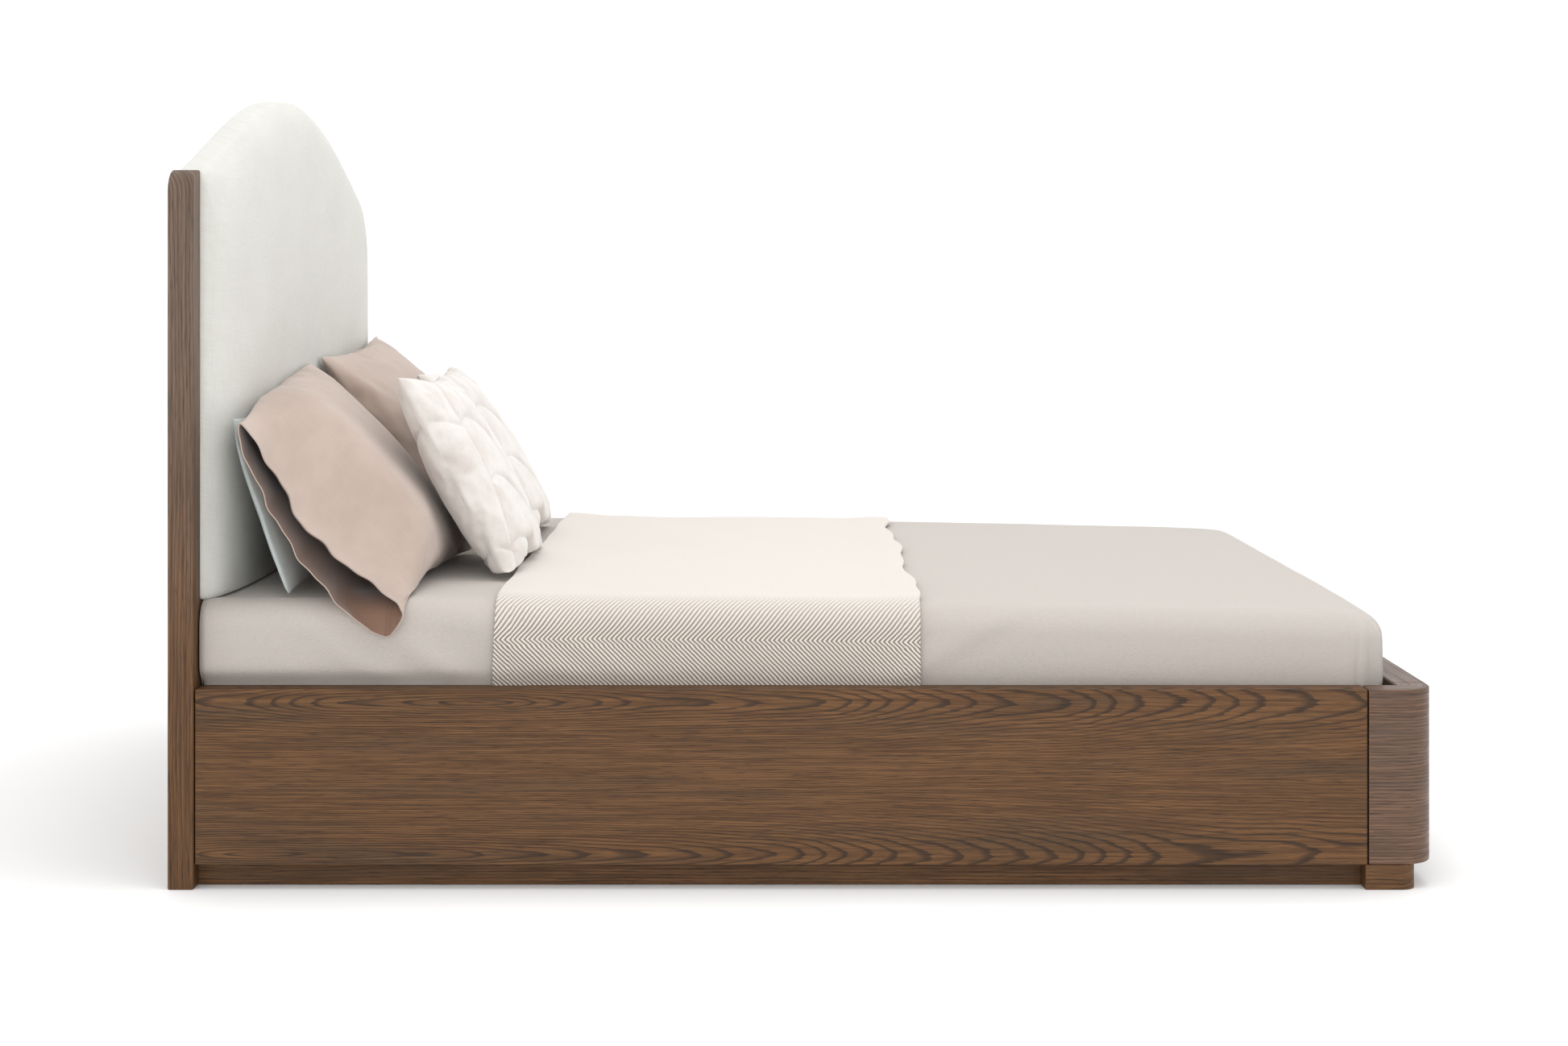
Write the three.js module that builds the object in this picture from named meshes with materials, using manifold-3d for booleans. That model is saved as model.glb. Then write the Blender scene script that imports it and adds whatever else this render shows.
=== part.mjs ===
// A queen-size platform bed with an arched, upholstered headboard between two wooden posts, a low
// footboard that wraps round both foot corners, and its bedding. Millimetres, +Z up. X runs from the
// headboard (-X) to the footboard (+X) and Y across the bed. The origin is on the floor, under the
// middle of the bed. The two sides of the bed are mirror images: "near" is -Y and "far" is +Y.

import * as THREE from "three";
import { mergeVertices } from "three/addons/utils/BufferGeometryUtils.js";
import Module from "manifold-3d";

const wasm = await Module();
wasm.setup();

// Driving dimensions
const LENGTH = 2150;
const WIDTH = 1630;
const BACK_X = -LENGTH / 2;
const FRONT_X = LENGTH / 2;
const OUTER_Y = WIDTH / 2;

const POST_DEPTH = 44;
const POST_WIDTH = 50;
const POST_HEIGHT = 1221;
const POST_ROUND = 40;

const ARCH_RISE = 171;
const ARCH_POWER = 1.12;
const ARCH_STEPS = 14;
const PAD_BACK_GAP = 4;
const PAD_BACK_X = BACK_X + PAD_BACK_GAP;
const PAD_FRONT_X = -984;
const PAD_BOTTOM = 490;
const PAD_ROUND = 26;
const PANEL_THICK = 18;
const PANEL_INSET = 8;
const PANEL_GAP = 1;
const PANEL_RISE = 30;
const DUST_COVER_THICK = 1;
const DUST_COVER_INSET = 14;

const LOWER_PANEL_BOTTOM = 46;
const LOWER_PANEL_TOP = 484;
const CLEAT_THICK = 24;
const CLEAT_BOTTOM = 60;
const CLEAT_BACK_GAP = 3;
const STRETCHER_BOTTOM = 380;
const STRETCHER_TOP = 470;

const RAIL_TOP = 339.3;
const RAIL_BOTTOM = 42.8;
const RAIL_THICK = 48;
const JOINT_GAP = 2.4;
const FOOT_JOINT_X = 958;
const FOOTBOARD_THICK = 57;
const CORNER_RADIUS = 57;
const CORNER_LENGTH_Y = 78;
const EASED_EDGE = 2;

const PLINTH_RECESS = 35.5;
const PLINTH_THICK = 18;
const FLOOR_CLEARANCE = 1;
const BLOCK_LOW_X = 954.6;
const BLOCK_HIGH_X = 1042;
const BLOCK_WIDTH_Y = 88;
const BLOCK_RADIUS = 26;
const BLOCK_EASED_EDGE = 1;
const FOOT_PLINTH_X = 1015;

const LEDGER_HEIGHT = 30;
const LEDGER_THICK = 28;
const LEDGER_HEAD_GAP = 6;
const LEDGER_FOOT_GAP = 2;
const SLAT_COUNT = 13;
const SLAT_WIDTH = 70;
const SLAT_THICK = 18;
const SLAT_TOP = 200;
const SLAT_FIRST_X = -980;
const SLAT_LAST_X = 955;
const SLAT_HALF_LENGTH = 762;

const BEAM_WIDTH = 40;
const BEAM_HEIGHT = 90;
const BEAM_END_GAP = 6;
const HANGER_THICK = 3;
const HANGER_REACH = 46;
const HANGER_FLANGE = 24;
const HANGER_TOP_DROP = 12;
const LEG_SIZE = 44;
const LEG_BOTTOM = 22;
const LEG_XS = [-510, 0, 510];
const LEVELLER_DISC_RADIUS = 20;
const LEVELLER_DISC_HEIGHT = 8;
const LEVELLER_DISC_EASED = 2;
const LEVELLER_DISC_CROWN = 4;
const LEVELLER_STEM_RADIUS = 5;
const LEVELLER_STEM_TOP = 58;
const LEVELLER_BORE_RADIUS = 5.6;
const LEVELLER_BORE_TOP = 74;

const BRACKET_THICK = 4;
const BRACKET_LOW = 64;
const BRACKET_HIGH = 136;
const BRACKET_REACH = 62;
const BRACKET_SETBACK = 24;
const HEAD_BOLT_OFFSET = 44;
const FOOT_BOLT_OFFSET = 32;
const BOLT_SHANK_RADIUS = 4;
const BOLT_SHANK_LENGTH = 30;
const BOLT_HEAD_RADIUS = 9;
const BOLT_HEAD_LENGTH = 5;
const BOLT_CLEARANCE = 0.4;
const BOLT_HOLE_EXTRA = 8;

const MATTRESS_LENGTH = 2030;
const MATTRESS_WIDTH = 1510;
const MATTRESS_TOP = 474;
const MATTRESS_ROUND = 34;
const MATTRESS_HEAD_GAP = 2;
const SOFT_CHAMFER = 6;
const SOFT_END_EASED = 5;
const BLANKET_HEAD_GAP = 4;
const BLANKET_THICK = 3;
const THROW_THICK = 4;
const THROW_LOW_X = -528;
const THROW_HIGH_X = 204;
const BEDDING_BOTTOM = 222;
const PILLOW_CELLS = 10;
const PILLOW_FULLNESS = 4;

const GAP = 0.3;
const CUT_MARGIN = 60;
const PAD_HALF_WIDTH = OUTER_Y - POST_WIDTH - GAP;
const CURVE_STEPS = 10;
const ROD_SIDES = 20;
const PAD_ROUND_STEPS = 4;
const MIRRORED = [
  { name: "near", side: -1 },
  { name: "far", side: 1 },
];

// Materials
const wood = new THREE.MeshStandardMaterial({ color: 0x6b5340, roughness: 0.55 });
const plainWood = new THREE.MeshStandardMaterial({ color: 0xcaa877, roughness: 0.7 });
const steel = new THREE.MeshStandardMaterial({ color: 0x3c3c3e, roughness: 0.45, metalness: 0.8 });
const linen = new THREE.MeshStandardMaterial({ color: 0xe4e2d8, roughness: 0.95 });
const cambric = new THREE.MeshStandardMaterial({ color: 0x34332f, roughness: 0.95 });
const blanketCloth = new THREE.MeshStandardMaterial({ color: 0xc9c0b6, roughness: 0.95 });
const throwCloth = new THREE.MeshStandardMaterial({ color: 0xdcd3c8, roughness: 0.95 });
const shamCloth = new THREE.MeshStandardMaterial({ color: 0xd7c3b6, roughness: 0.9 });
const blueCloth = new THREE.MeshStandardMaterial({ color: 0xa8b5b5, roughness: 0.9 });
const cushionCloth = new THREE.MeshStandardMaterial({ color: 0xf1ece8, roughness: 0.9 });
const ticking = new THREE.MeshStandardMaterial({ color: 0xeceae4, roughness: 0.95 });
const darkPlastic = new THREE.MeshStandardMaterial({ color: 0x232323, roughness: 0.6 });

const AXIS_X = new THREE.Vector3(1, 0, 0);
const AXIS_Y = new THREE.Vector3(0, 1, 0);
const AXIS_Z = new THREE.Vector3(0, 0, 1);

const bed = new THREE.Group();

function addPiece(name, geometry, material) {
  const piece = new THREE.Mesh(geometry, material);
  piece.name = name;
  bed.add(piece);
  return piece;
}

// Solids
function solid(geometry) {
  const bare = geometry.clone();
  bare.deleteAttribute("normal");
  bare.deleteAttribute("uv");
  const merged = mergeVertices(bare, 1e-4);
  return new wasm.Manifold(
    new wasm.Mesh({
      numProp: 3,
      vertProperties: new Float32Array(merged.attributes.position.array),
      triVerts: new Uint32Array(merged.index.array),
    }),
  );
}

function geometryOf(body) {
  const mesh = body.getMesh();
  const geometry = new THREE.BufferGeometry();
  geometry.setAttribute("position", new THREE.BufferAttribute(mesh.vertProperties, 3));
  geometry.setIndex(new THREE.BufferAttribute(mesh.triVerts, 1));
  return geometry;
}

function box(x0, x1, y0, y1, z0, z1) {
  const geometry = new THREE.BoxGeometry(x1 - x0, y1 - y0, z1 - z0);
  return geometry.translate((x0 + x1) / 2, (y0 + y1) / 2, (z0 + z1) / 2);
}

// A box whose y range is given from the outer side of the bed inwards, for either side.
function sideBox(side, x0, x1, in0, in1, z0, z1) {
  const a = side * (OUTER_Y - in0);
  const b = side * (OUTER_Y - in1);
  return box(x0, x1, Math.min(a, b), Math.max(a, b), z0, z1);
}

// A plan outline, extruded upwards, with eased top and bottom edges.
function upright(outline, z0, z1, eased) {
  const geometry = new THREE.ExtrudeGeometry(outline, {
    depth: z1 - z0 - 2 * eased,
    bevelEnabled: eased > 0,
    bevelThickness: eased,
    bevelSize: eased,
    bevelOffset: -eased,
    bevelSegments: 1,
    curveSegments: CURVE_STEPS,
  });
  return geometry.translate(0, 0, z0 + eased);
}

// An outline drawn in the Y-Z plane, extruded along X, with rounded or eased ends.
function crosswise(outline, x0, x1, eased, segments) {
  const geometry = new THREE.ExtrudeGeometry(outline, {
    depth: x1 - x0 - 2 * eased,
    bevelEnabled: eased > 0,
    bevelThickness: eased,
    bevelSize: eased,
    bevelOffset: -eased,
    bevelSegments: segments,
    curveSegments: CURVE_STEPS,
  });
  geometry.translate(0, 0, x0 + eased);
  return geometry.applyMatrix4(new THREE.Matrix4().makeBasis(AXIS_Y, AXIS_Z, AXIS_X));
}

function rectangle(a0, a1, b0, b1) {
  const outline = new THREE.Shape();
  outline.moveTo(a0, b0);
  outline.lineTo(a1, b0);
  outline.lineTo(a1, b1);
  outline.lineTo(a0, b1);
  outline.closePath();
  return outline;
}

function rod(radius, from, to, direction) {
  const length = to - from;
  const geometry = new THREE.CylinderGeometry(radius, radius, length, ROD_SIDES);
  if (direction === "z") {
    geometry.rotateX(Math.PI / 2);
    return geometry.translate(0, 0, (from + to) / 2);
  }
  return geometry.translate(0, (from + to) / 2, 0);
}

// The arched top of the headboard: its height over the posts' tops at y.

function archHeight(y) {
  const along = Math.max(0, 1 - Math.abs(y) / PAD_HALF_WIDTH);
  return POST_HEIGHT + ARCH_RISE * Math.sin((Math.PI / 2) * along ** ARCH_POWER);
}

function archOutline(inset, bottom) {
  const half = PAD_HALF_WIDTH - inset;
  const outline = new THREE.Shape();
  outline.moveTo(-half, bottom);
  outline.lineTo(half, bottom);
  for (let i = 0; i <= 2 * ARCH_STEPS; i++) {
    const y = half * (1 - i / ARCH_STEPS);
    outline.lineTo(y, archHeight(y) - inset);
  }
  outline.closePath();
  return outline;
}

// Headboard: two posts, the plywood panel with its pad and dust cover, and the lower frame.
function postOutline(side) {
  const outer = side * OUTER_Y;
  const inner = side * (OUTER_Y - POST_WIDTH);
  const outline = new THREE.Shape();
  outline.moveTo(inner, 0);
  outline.lineTo(outer, 0);
  outline.lineTo(outer, POST_HEIGHT - POST_ROUND);
  outline.absarc(
    side * (OUTER_Y - POST_ROUND),
    POST_HEIGHT - POST_ROUND,
    POST_ROUND,
    side > 0 ? 0 : Math.PI,
    Math.PI / 2,
    side < 0,
  );
  outline.lineTo(inner, POST_HEIGHT);
  outline.closePath();
  return outline;
}

const postFrontX = BACK_X + POST_DEPTH;
const panelBackX = PAD_BACK_X + PANEL_GAP;
const panelFrontX = panelBackX + PANEL_THICK;
const lowerPanelFrontX = postFrontX;
const lowerPanelBackX = lowerPanelFrontX - PANEL_THICK;
const panelBottom = PAD_BOTTOM + PANEL_RISE;

for (const { name, side } of MIRRORED) {
  addPiece(`headboard_post_${name}`, crosswise(postOutline(side), BACK_X, postFrontX, EASED_EDGE, 1), wood);
  const inside = POST_WIDTH + GAP;
  addPiece(
    `headboard_cleat_${name}`,
    sideBox(
      side,
      BACK_X + CLEAT_BACK_GAP,
      lowerPanelBackX - GAP,
      inside,
      inside + CLEAT_THICK,
      CLEAT_BOTTOM,
      LOWER_PANEL_TOP,
    ),
    plainWood,
  );
}

const padBody = solid(
  crosswise(archOutline(0, PAD_BOTTOM), PAD_BACK_X - PAD_ROUND, PAD_FRONT_X, PAD_ROUND, PAD_ROUND_STEPS),
);
const behindPad = solid(box(PAD_BACK_X - CUT_MARGIN, PAD_BACK_X, -OUTER_Y, OUTER_Y, 0, 2 * POST_HEIGHT));
const panelOutline = archOutline(PANEL_INSET, panelBottom);
const panelPocket = solid(
  crosswise(
    archOutline(PANEL_INSET - GAP, panelBottom - GAP),
    PAD_BACK_X - CUT_MARGIN,
    panelFrontX + GAP,
    0,
    1,
  ),
);
addPiece("headboard_pad", geometryOf(padBody.subtract(behindPad).subtract(panelPocket)), linen);
addPiece("headboard_panel", crosswise(panelOutline, panelBackX, panelFrontX, 0, 1), plainWood);
addPiece(
  "headboard_dust_cover",
  crosswise(
    archOutline(PANEL_INSET + DUST_COVER_INSET, panelBottom + DUST_COVER_INSET),
    panelBackX - GAP - DUST_COVER_THICK,
    panelBackX - GAP,
    0,
    1,
  ),
  cambric,
);
addPiece(
  "headboard_lower_panel",
  box(
    lowerPanelBackX,
    lowerPanelFrontX,
    -PAD_HALF_WIDTH,
    PAD_HALF_WIDTH,
    LOWER_PANEL_BOTTOM,
    LOWER_PANEL_TOP,
  ),
  wood,
);
const stretcherHalf = PAD_HALF_WIDTH - CLEAT_THICK - GAP;
addPiece(
  "headboard_stretcher",
  box(
    BACK_X + CLEAT_BACK_GAP,
    lowerPanelBackX - GAP,
    -stretcherHalf,
    stretcherHalf,
    STRETCHER_BOTTOM,
    STRETCHER_TOP,
  ),
  plainWood,
);

// Rail joints: a steel angle in each corner, held to the rail by a bolt.
const railInnerY = OUTER_Y - RAIL_THICK;
const railHeadX = postFrontX + JOINT_GAP;
const footInnerX = FRONT_X - FOOTBOARD_THICK;
const boltZ = (BRACKET_LOW + BRACKET_HIGH) / 2;
const headBoltX = lowerPanelFrontX + HEAD_BOLT_OFFSET;
const footBoltX = FOOT_JOINT_X - FOOT_BOLT_OFFSET;

function boltHole(x, side) {
  const deepest = OUTER_Y - RAIL_THICK - BRACKET_THICK - BOLT_HOLE_EXTRA;
  const end = deepest + BOLT_SHANK_LENGTH + 2 * BOLT_HOLE_EXTRA;
  const hole = rod(BOLT_SHANK_RADIUS + BOLT_CLEARANCE, deepest, end, "y");
  hole.scale(1, side, 1);
  if (side < 0) {
    hole.setIndex(Array.from(hole.index.array).reverse());
  }
  return solid(hole.translate(x, 0, boltZ));
}

// A steel angle: one leg lies on the rail's inner face, the other on the end board's inner face.
function angle(endX, towards, reach, boltX, side) {
  const face = railInnerY - GAP;
  const tip = endX + towards * reach;
  const railLeg = box(
    Math.min(endX, tip),
    Math.max(endX, tip),
    face - BRACKET_THICK,
    face,
    BRACKET_LOW,
    BRACKET_HIGH,
  );
  const legEnd = endX + towards * BRACKET_THICK;
  const endLeg = box(
    Math.min(endX, legEnd),
    Math.max(endX, legEnd),
    face - BRACKET_REACH,
    face - BRACKET_THICK / 2,
    BRACKET_LOW,
    BRACKET_HIGH,
  );
  const body = solid(railLeg).add(solid(endLeg));
  const placed = side > 0 ? body : body.mirror([0, 1, 0]);
  return placed.subtract(boltHole(boltX, side));
}

function bolt(x, side) {
  const seat = railInnerY - GAP - BRACKET_THICK - GAP;
  const head = solid(rod(BOLT_HEAD_RADIUS, seat - BOLT_HEAD_LENGTH, seat, "y"));
  const shank = solid(rod(BOLT_SHANK_RADIUS, seat - BOLT_HEAD_LENGTH / 2, seat + BOLT_SHANK_LENGTH, "y"));
  const body = head.add(shank).translate([x, 0, boltZ]);
  return side > 0 ? body : body.mirror([0, 1, 0]);
}

for (const { name, side } of MIRRORED) {
  const railOutline = rectangle(
    Math.min(side * railInnerY, side * OUTER_Y),
    Math.max(side * railInnerY, side * OUTER_Y),
    RAIL_BOTTOM,
    RAIL_TOP,
  );
  const rail = solid(crosswise(railOutline, railHeadX, FOOT_JOINT_X, EASED_EDGE, 1));
  const bored = rail.subtract(boltHole(headBoltX, side)).subtract(boltHole(footBoltX, side));
  addPiece(`side_rail_${name}`, geometryOf(bored), wood);
  addPiece(
    `side_plinth_${name}`,
    sideBox(
      side,
      postFrontX + GAP,
      BLOCK_LOW_X - GAP,
      PLINTH_RECESS,
      PLINTH_RECESS + PLINTH_THICK,
      FLOOR_CLEARANCE,
      RAIL_BOTTOM - GAP,
    ),
    wood,
  );
  addPiece(
    `slat_ledger_${name}`,
    sideBox(
      side,
      railHeadX + LEDGER_HEAD_GAP,
      FOOT_JOINT_X - LEDGER_FOOT_GAP,
      RAIL_THICK + GAP,
      RAIL_THICK + GAP + LEDGER_THICK,
      SLAT_TOP - SLAT_THICK - GAP - LEDGER_HEIGHT,
      SLAT_TOP - SLAT_THICK - GAP,
    ),
    plainWood,
  );
  const headReach = headBoltX + BRACKET_SETBACK - lowerPanelFrontX;
  const headAngle = angle(lowerPanelFrontX + GAP, 1, headReach, headBoltX, side);
  const footReach = footInnerX - footBoltX + BRACKET_SETBACK;
  const footAngle = angle(footInnerX - GAP, -1, footReach, footBoltX, side);
  addPiece(`corner_bracket_head_${name}`, geometryOf(headAngle), steel);
  addPiece(`corner_bracket_foot_${name}`, geometryOf(footAngle), steel);
  addPiece(`corner_bolt_head_${name}`, geometryOf(bolt(headBoltX, side)), steel);
  addPiece(`corner_bolt_foot_${name}`, geometryOf(bolt(footBoltX, side)), steel);
}

// Footboard: a straight panel between two bent corners that return along the sides.
function cornerOutline(side) {
  const y = (inward) => side * (OUTER_Y - inward);
  const outline = new THREE.Shape();
  outline.moveTo(FOOT_JOINT_X + JOINT_GAP, y(0));
  outline.lineTo(FRONT_X - CORNER_RADIUS, y(0));
  outline.absarc(
    FRONT_X - CORNER_RADIUS,
    y(CORNER_RADIUS),
    CORNER_RADIUS,
    (side * Math.PI) / 2,
    0,
    side > 0,
  );
  outline.lineTo(FRONT_X, y(CORNER_LENGTH_Y));
  outline.lineTo(footInnerX, y(CORNER_LENGTH_Y));
  outline.lineTo(footInnerX, y(RAIL_THICK));
  outline.lineTo(FOOT_JOINT_X + JOINT_GAP, y(RAIL_THICK));
  outline.closePath();
  return outline;
}

const endHalf = OUTER_Y - CORNER_LENGTH_Y - GAP;
addPiece(
  "footboard_end",
  upright(rectangle(footInnerX, FRONT_X, -endHalf, endHalf), RAIL_BOTTOM, RAIL_TOP, EASED_EDGE),
  wood,
);

function blockOutline(side) {
  const y = (inward) => side * (OUTER_Y - inward);
  const outline = new THREE.Shape();
  outline.moveTo(BLOCK_LOW_X, y(0));
  outline.lineTo(BLOCK_HIGH_X - BLOCK_RADIUS, y(0));
  outline.absarc(
    BLOCK_HIGH_X - BLOCK_RADIUS,
    y(BLOCK_RADIUS),
    BLOCK_RADIUS,
    (side * Math.PI) / 2,
    0,
    side > 0,
  );
  outline.lineTo(BLOCK_HIGH_X, y(BLOCK_WIDTH_Y));
  outline.lineTo(BLOCK_LOW_X, y(BLOCK_WIDTH_Y));
  outline.closePath();
  return outline;
}

for (const { name, side } of MIRRORED) {
  addPiece(
    `footboard_corner_${name}`,
    upright(cornerOutline(side), RAIL_BOTTOM, RAIL_TOP, EASED_EDGE),
    wood,
  );
  addPiece(`foot_block_${name}`, upright(blockOutline(side), 0, RAIL_BOTTOM - GAP, BLOCK_EASED_EDGE), wood);
}
const footPlinthHalf = OUTER_Y - BLOCK_WIDTH_Y - GAP;
addPiece(
  "foot_plinth",
  box(
    FOOT_PLINTH_X - PLINTH_THICK,
    FOOT_PLINTH_X,
    -footPlinthHalf,
    footPlinthHalf,
    FLOOR_CLEARANCE,
    RAIL_BOTTOM - GAP,
  ),
  wood,
);

// Mattress support: slats on the ledgers and on a beam that hangs from the end boards.
const slatPitch = (SLAT_LAST_X - SLAT_FIRST_X) / (SLAT_COUNT - 1);
for (let i = 0; i < SLAT_COUNT; i++) {
  const x = SLAT_FIRST_X + i * slatPitch;
  const outline = rectangle(x - SLAT_WIDTH / 2, x + SLAT_WIDTH / 2, -SLAT_HALF_LENGTH, SLAT_HALF_LENGTH);
  addPiece(
    `slat_${String(i + 1).padStart(2, "0")}`,
    upright(outline, SLAT_TOP - SLAT_THICK, SLAT_TOP, EASED_EDGE),
    plainWood,
  );
}

const beamTop = SLAT_TOP - SLAT_THICK - GAP;
const beamBottom = beamTop - BEAM_HEIGHT;
const beamHeadX = lowerPanelFrontX + BEAM_END_GAP;
const beamFootX = footInnerX - BEAM_END_GAP;
addPiece(
  "centre_beam",
  box(beamHeadX, beamFootX, -BEAM_WIDTH / 2, BEAM_WIDTH / 2, beamBottom, beamTop),
  plainWood,
);

// A U-shaped steel hanger on a back plate, under one end of the beam.
function hanger(plateX, towards) {
  const inner = BEAM_WIDTH / 2 + GAP;
  const outer = inner + HANGER_THICK;
  const tip = plateX + towards * HANGER_REACH;
  const plateEnd = plateX + towards * HANGER_THICK;
  const low = beamBottom - GAP - HANGER_THICK;
  const high = beamTop - HANGER_TOP_DROP;
  const span = (from, to, y0, y1, z0, z1) =>
    solid(box(Math.min(from, to), Math.max(from, to), y0, y1, z0, z1));
  const plate = span(plateX, plateEnd, -inner - HANGER_FLANGE, inner + HANGER_FLANGE, low, high);
  const floor = span(plateX, tip, -outer, outer, low, low + HANGER_THICK);
  const left = span(plateX, tip, -outer, -inner, low, high);
  const right = span(plateX, tip, inner, outer, low, high);
  return plate.add(floor).add(left).add(right);
}

addPiece("beam_hanger_head", geometryOf(hanger(lowerPanelFrontX + GAP, 1)), steel);
addPiece("beam_hanger_foot", geometryOf(hanger(footInnerX - GAP, -1)), steel);

LEG_XS.forEach((x, i) => {
  const half = LEG_SIZE / 2;
  const post = solid(box(x - half, x + half, -half, half, LEG_BOTTOM, beamBottom - GAP));
  const bore = solid(rod(LEVELLER_BORE_RADIUS, 0, LEVELLER_BORE_TOP, "z").translate(x, 0, 0));
  addPiece(`centre_leg_${i + 1}`, geometryOf(post.subtract(bore)), plainWood);
  const profile = [
    new THREE.Vector2(0, 0),
    new THREE.Vector2(LEVELLER_DISC_RADIUS - LEVELLER_DISC_EASED, 0),
    new THREE.Vector2(LEVELLER_DISC_RADIUS, LEVELLER_DISC_EASED),
    new THREE.Vector2(LEVELLER_DISC_RADIUS, LEVELLER_DISC_HEIGHT - LEVELLER_DISC_EASED),
    new THREE.Vector2(LEVELLER_DISC_RADIUS - LEVELLER_DISC_CROWN, LEVELLER_DISC_HEIGHT),
    new THREE.Vector2(LEVELLER_STEM_RADIUS, LEVELLER_DISC_HEIGHT),
    new THREE.Vector2(LEVELLER_STEM_RADIUS, LEVELLER_STEM_TOP),
    new THREE.Vector2(0, LEVELLER_STEM_TOP),
  ];
  const foot = new THREE.LatheGeometry(profile, ROD_SIDES);
  foot.rotateX(Math.PI / 2);
  addPiece(`centre_leg_leveller_${i + 1}`, foot.translate(x, 0, 0), darkPlastic);
});

// Mattress, and the blanket and throw that lie over it and go down beside it.
const mattressHeadX = postFrontX + MATTRESS_HEAD_GAP;
const mattressFootX = mattressHeadX + MATTRESS_LENGTH;
const mattressHalf = MATTRESS_WIDTH / 2;

// A block with rounded upper edges and chamfered lower ones.
function softBlock(x0, x1, halfY, z0, z1, round) {
  const outline = new THREE.Shape();
  outline.moveTo(-halfY, z0 + SOFT_CHAMFER);
  outline.lineTo(-halfY + SOFT_CHAMFER, z0);
  outline.lineTo(halfY - SOFT_CHAMFER, z0);
  outline.lineTo(halfY, z0 + SOFT_CHAMFER);
  outline.lineTo(halfY, z1 - round);
  outline.absarc(halfY - round, z1 - round, round, 0, Math.PI / 2, false);
  outline.absarc(-halfY + round, z1 - round, round, Math.PI / 2, Math.PI, false);
  outline.closePath();
  return crosswise(outline, x0, x1, SOFT_END_EASED, 1);
}

addPiece(
  "mattress",
  softBlock(mattressHeadX, mattressFootX, mattressHalf, SLAT_TOP + GAP, MATTRESS_TOP, MATTRESS_ROUND),
  ticking,
);

function cover(x0, x1, inset, thick, openFootX) {
  const outerHalf = mattressHalf + inset + thick;
  const top = MATTRESS_TOP + inset + thick;
  const round = MATTRESS_ROUND + inset + thick;
  const outer = solid(softBlock(x0, x1, outerHalf, BEDDING_BOTTOM - CUT_MARGIN, top, round));
  const inner = solid(
    softBlock(x0 - CUT_MARGIN, openFootX, outerHalf - thick, 0, top - thick, round - thick),
  );
  const below = solid(box(x0 - CUT_MARGIN, x1 + CUT_MARGIN, -OUTER_Y, OUTER_Y, 0, BEDDING_BOTTOM));
  return geometryOf(outer.subtract(inner).subtract(below));
}

const blanketFootX = mattressFootX + GAP + BLANKET_THICK;
addPiece(
  "blanket",
  cover(mattressHeadX + BLANKET_HEAD_GAP, blanketFootX, GAP, BLANKET_THICK, mattressFootX + GAP),
  blanketCloth,
);
addPiece(
  "throw",
  cover(THROW_LOW_X, THROW_HIGH_X, 2 * GAP + BLANKET_THICK, THROW_THICK, THROW_HIGH_X + CUT_MARGIN),
  throwCloth,
);

// Pillows: two crowned faces that meet in a thin seam, with sides that pull in between the corners.
// "lean" is the angle from the bed, and the centre is given at the middle of the pillow.
function pillow({ width, height, thick, pull, seam, lean, x, y, z }) {
  const geometry = new THREE.BoxGeometry(2, 2, 2, PILLOW_CELLS, PILLOW_CELLS, 1);
  const at = geometry.attributes.position;
  for (let i = 0; i < at.count; i++) {
    const u = at.getX(i);
    const v = at.getY(i);
    const crown = Math.sqrt(Math.max(0, (1 - u ** PILLOW_FULLNESS) * (1 - v ** PILLOW_FULLNESS)));
    const across = (u * width) / 2 - u * pull * (1 - v * v);
    const up = (v * height) / 2 - v * pull * (1 - u * u);
    at.setXYZ(i, across, up, at.getZ(i) * (seam / 2 + (crown * (thick - seam)) / 2));
  }
  const turn = new THREE.Matrix4().makeRotationX(THREE.MathUtils.degToRad(lean));
  const face = new THREE.Matrix4().makeRotationZ(Math.PI / 2);
  geometry.applyMatrix4(turn);
  geometry.applyMatrix4(face);
  return geometry.translate(x, y, z);
}

addPiece(
  "pillow_blue",
  pillow({ width: 640, height: 296, thick: 64, pull: 8, seam: 8, lean: 66, x: -904, y: -440, z: 630 }),
  blueCloth,
);
addPiece(
  "sham_near",
  pillow({ width: 700, height: 480, thick: 116, pull: 16, seam: 8, lean: 50.5, x: -797, y: -452, z: 678 }),
  shamCloth,
);
addPiece(
  "sham_far",
  pillow({ width: 690, height: 480, thick: 116, pull: 16, seam: 8, lean: 50.5, x: -797, y: 395, z: 678 }),
  shamCloth,
);
addPiece(
  "cushion_near",
  pillow({ width: 490, height: 425, thick: 110, pull: 18, seam: 8, lean: 63.5, x: -633, y: -258, z: 679 }),
  cushionCloth,
);
addPiece(
  "cushion_far",
  pillow({ width: 490, height: 425, thick: 110, pull: 18, seam: 8, lean: 63.5, x: -633, y: 258, z: 679 }),
  cushionCloth,
);

export default bed;
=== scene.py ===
"""The visual model of the upholstered platform bed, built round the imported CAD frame.

Everything is in metres in the CAD frame: +X from headboard to footboard, +Y across the bed, +Z up.
The near side of the bed is -Y.
"""
import math

import bmesh
import bpy
import numpy as np
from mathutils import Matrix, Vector, noise
from mathutils.bvhtree import BVHTree


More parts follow.
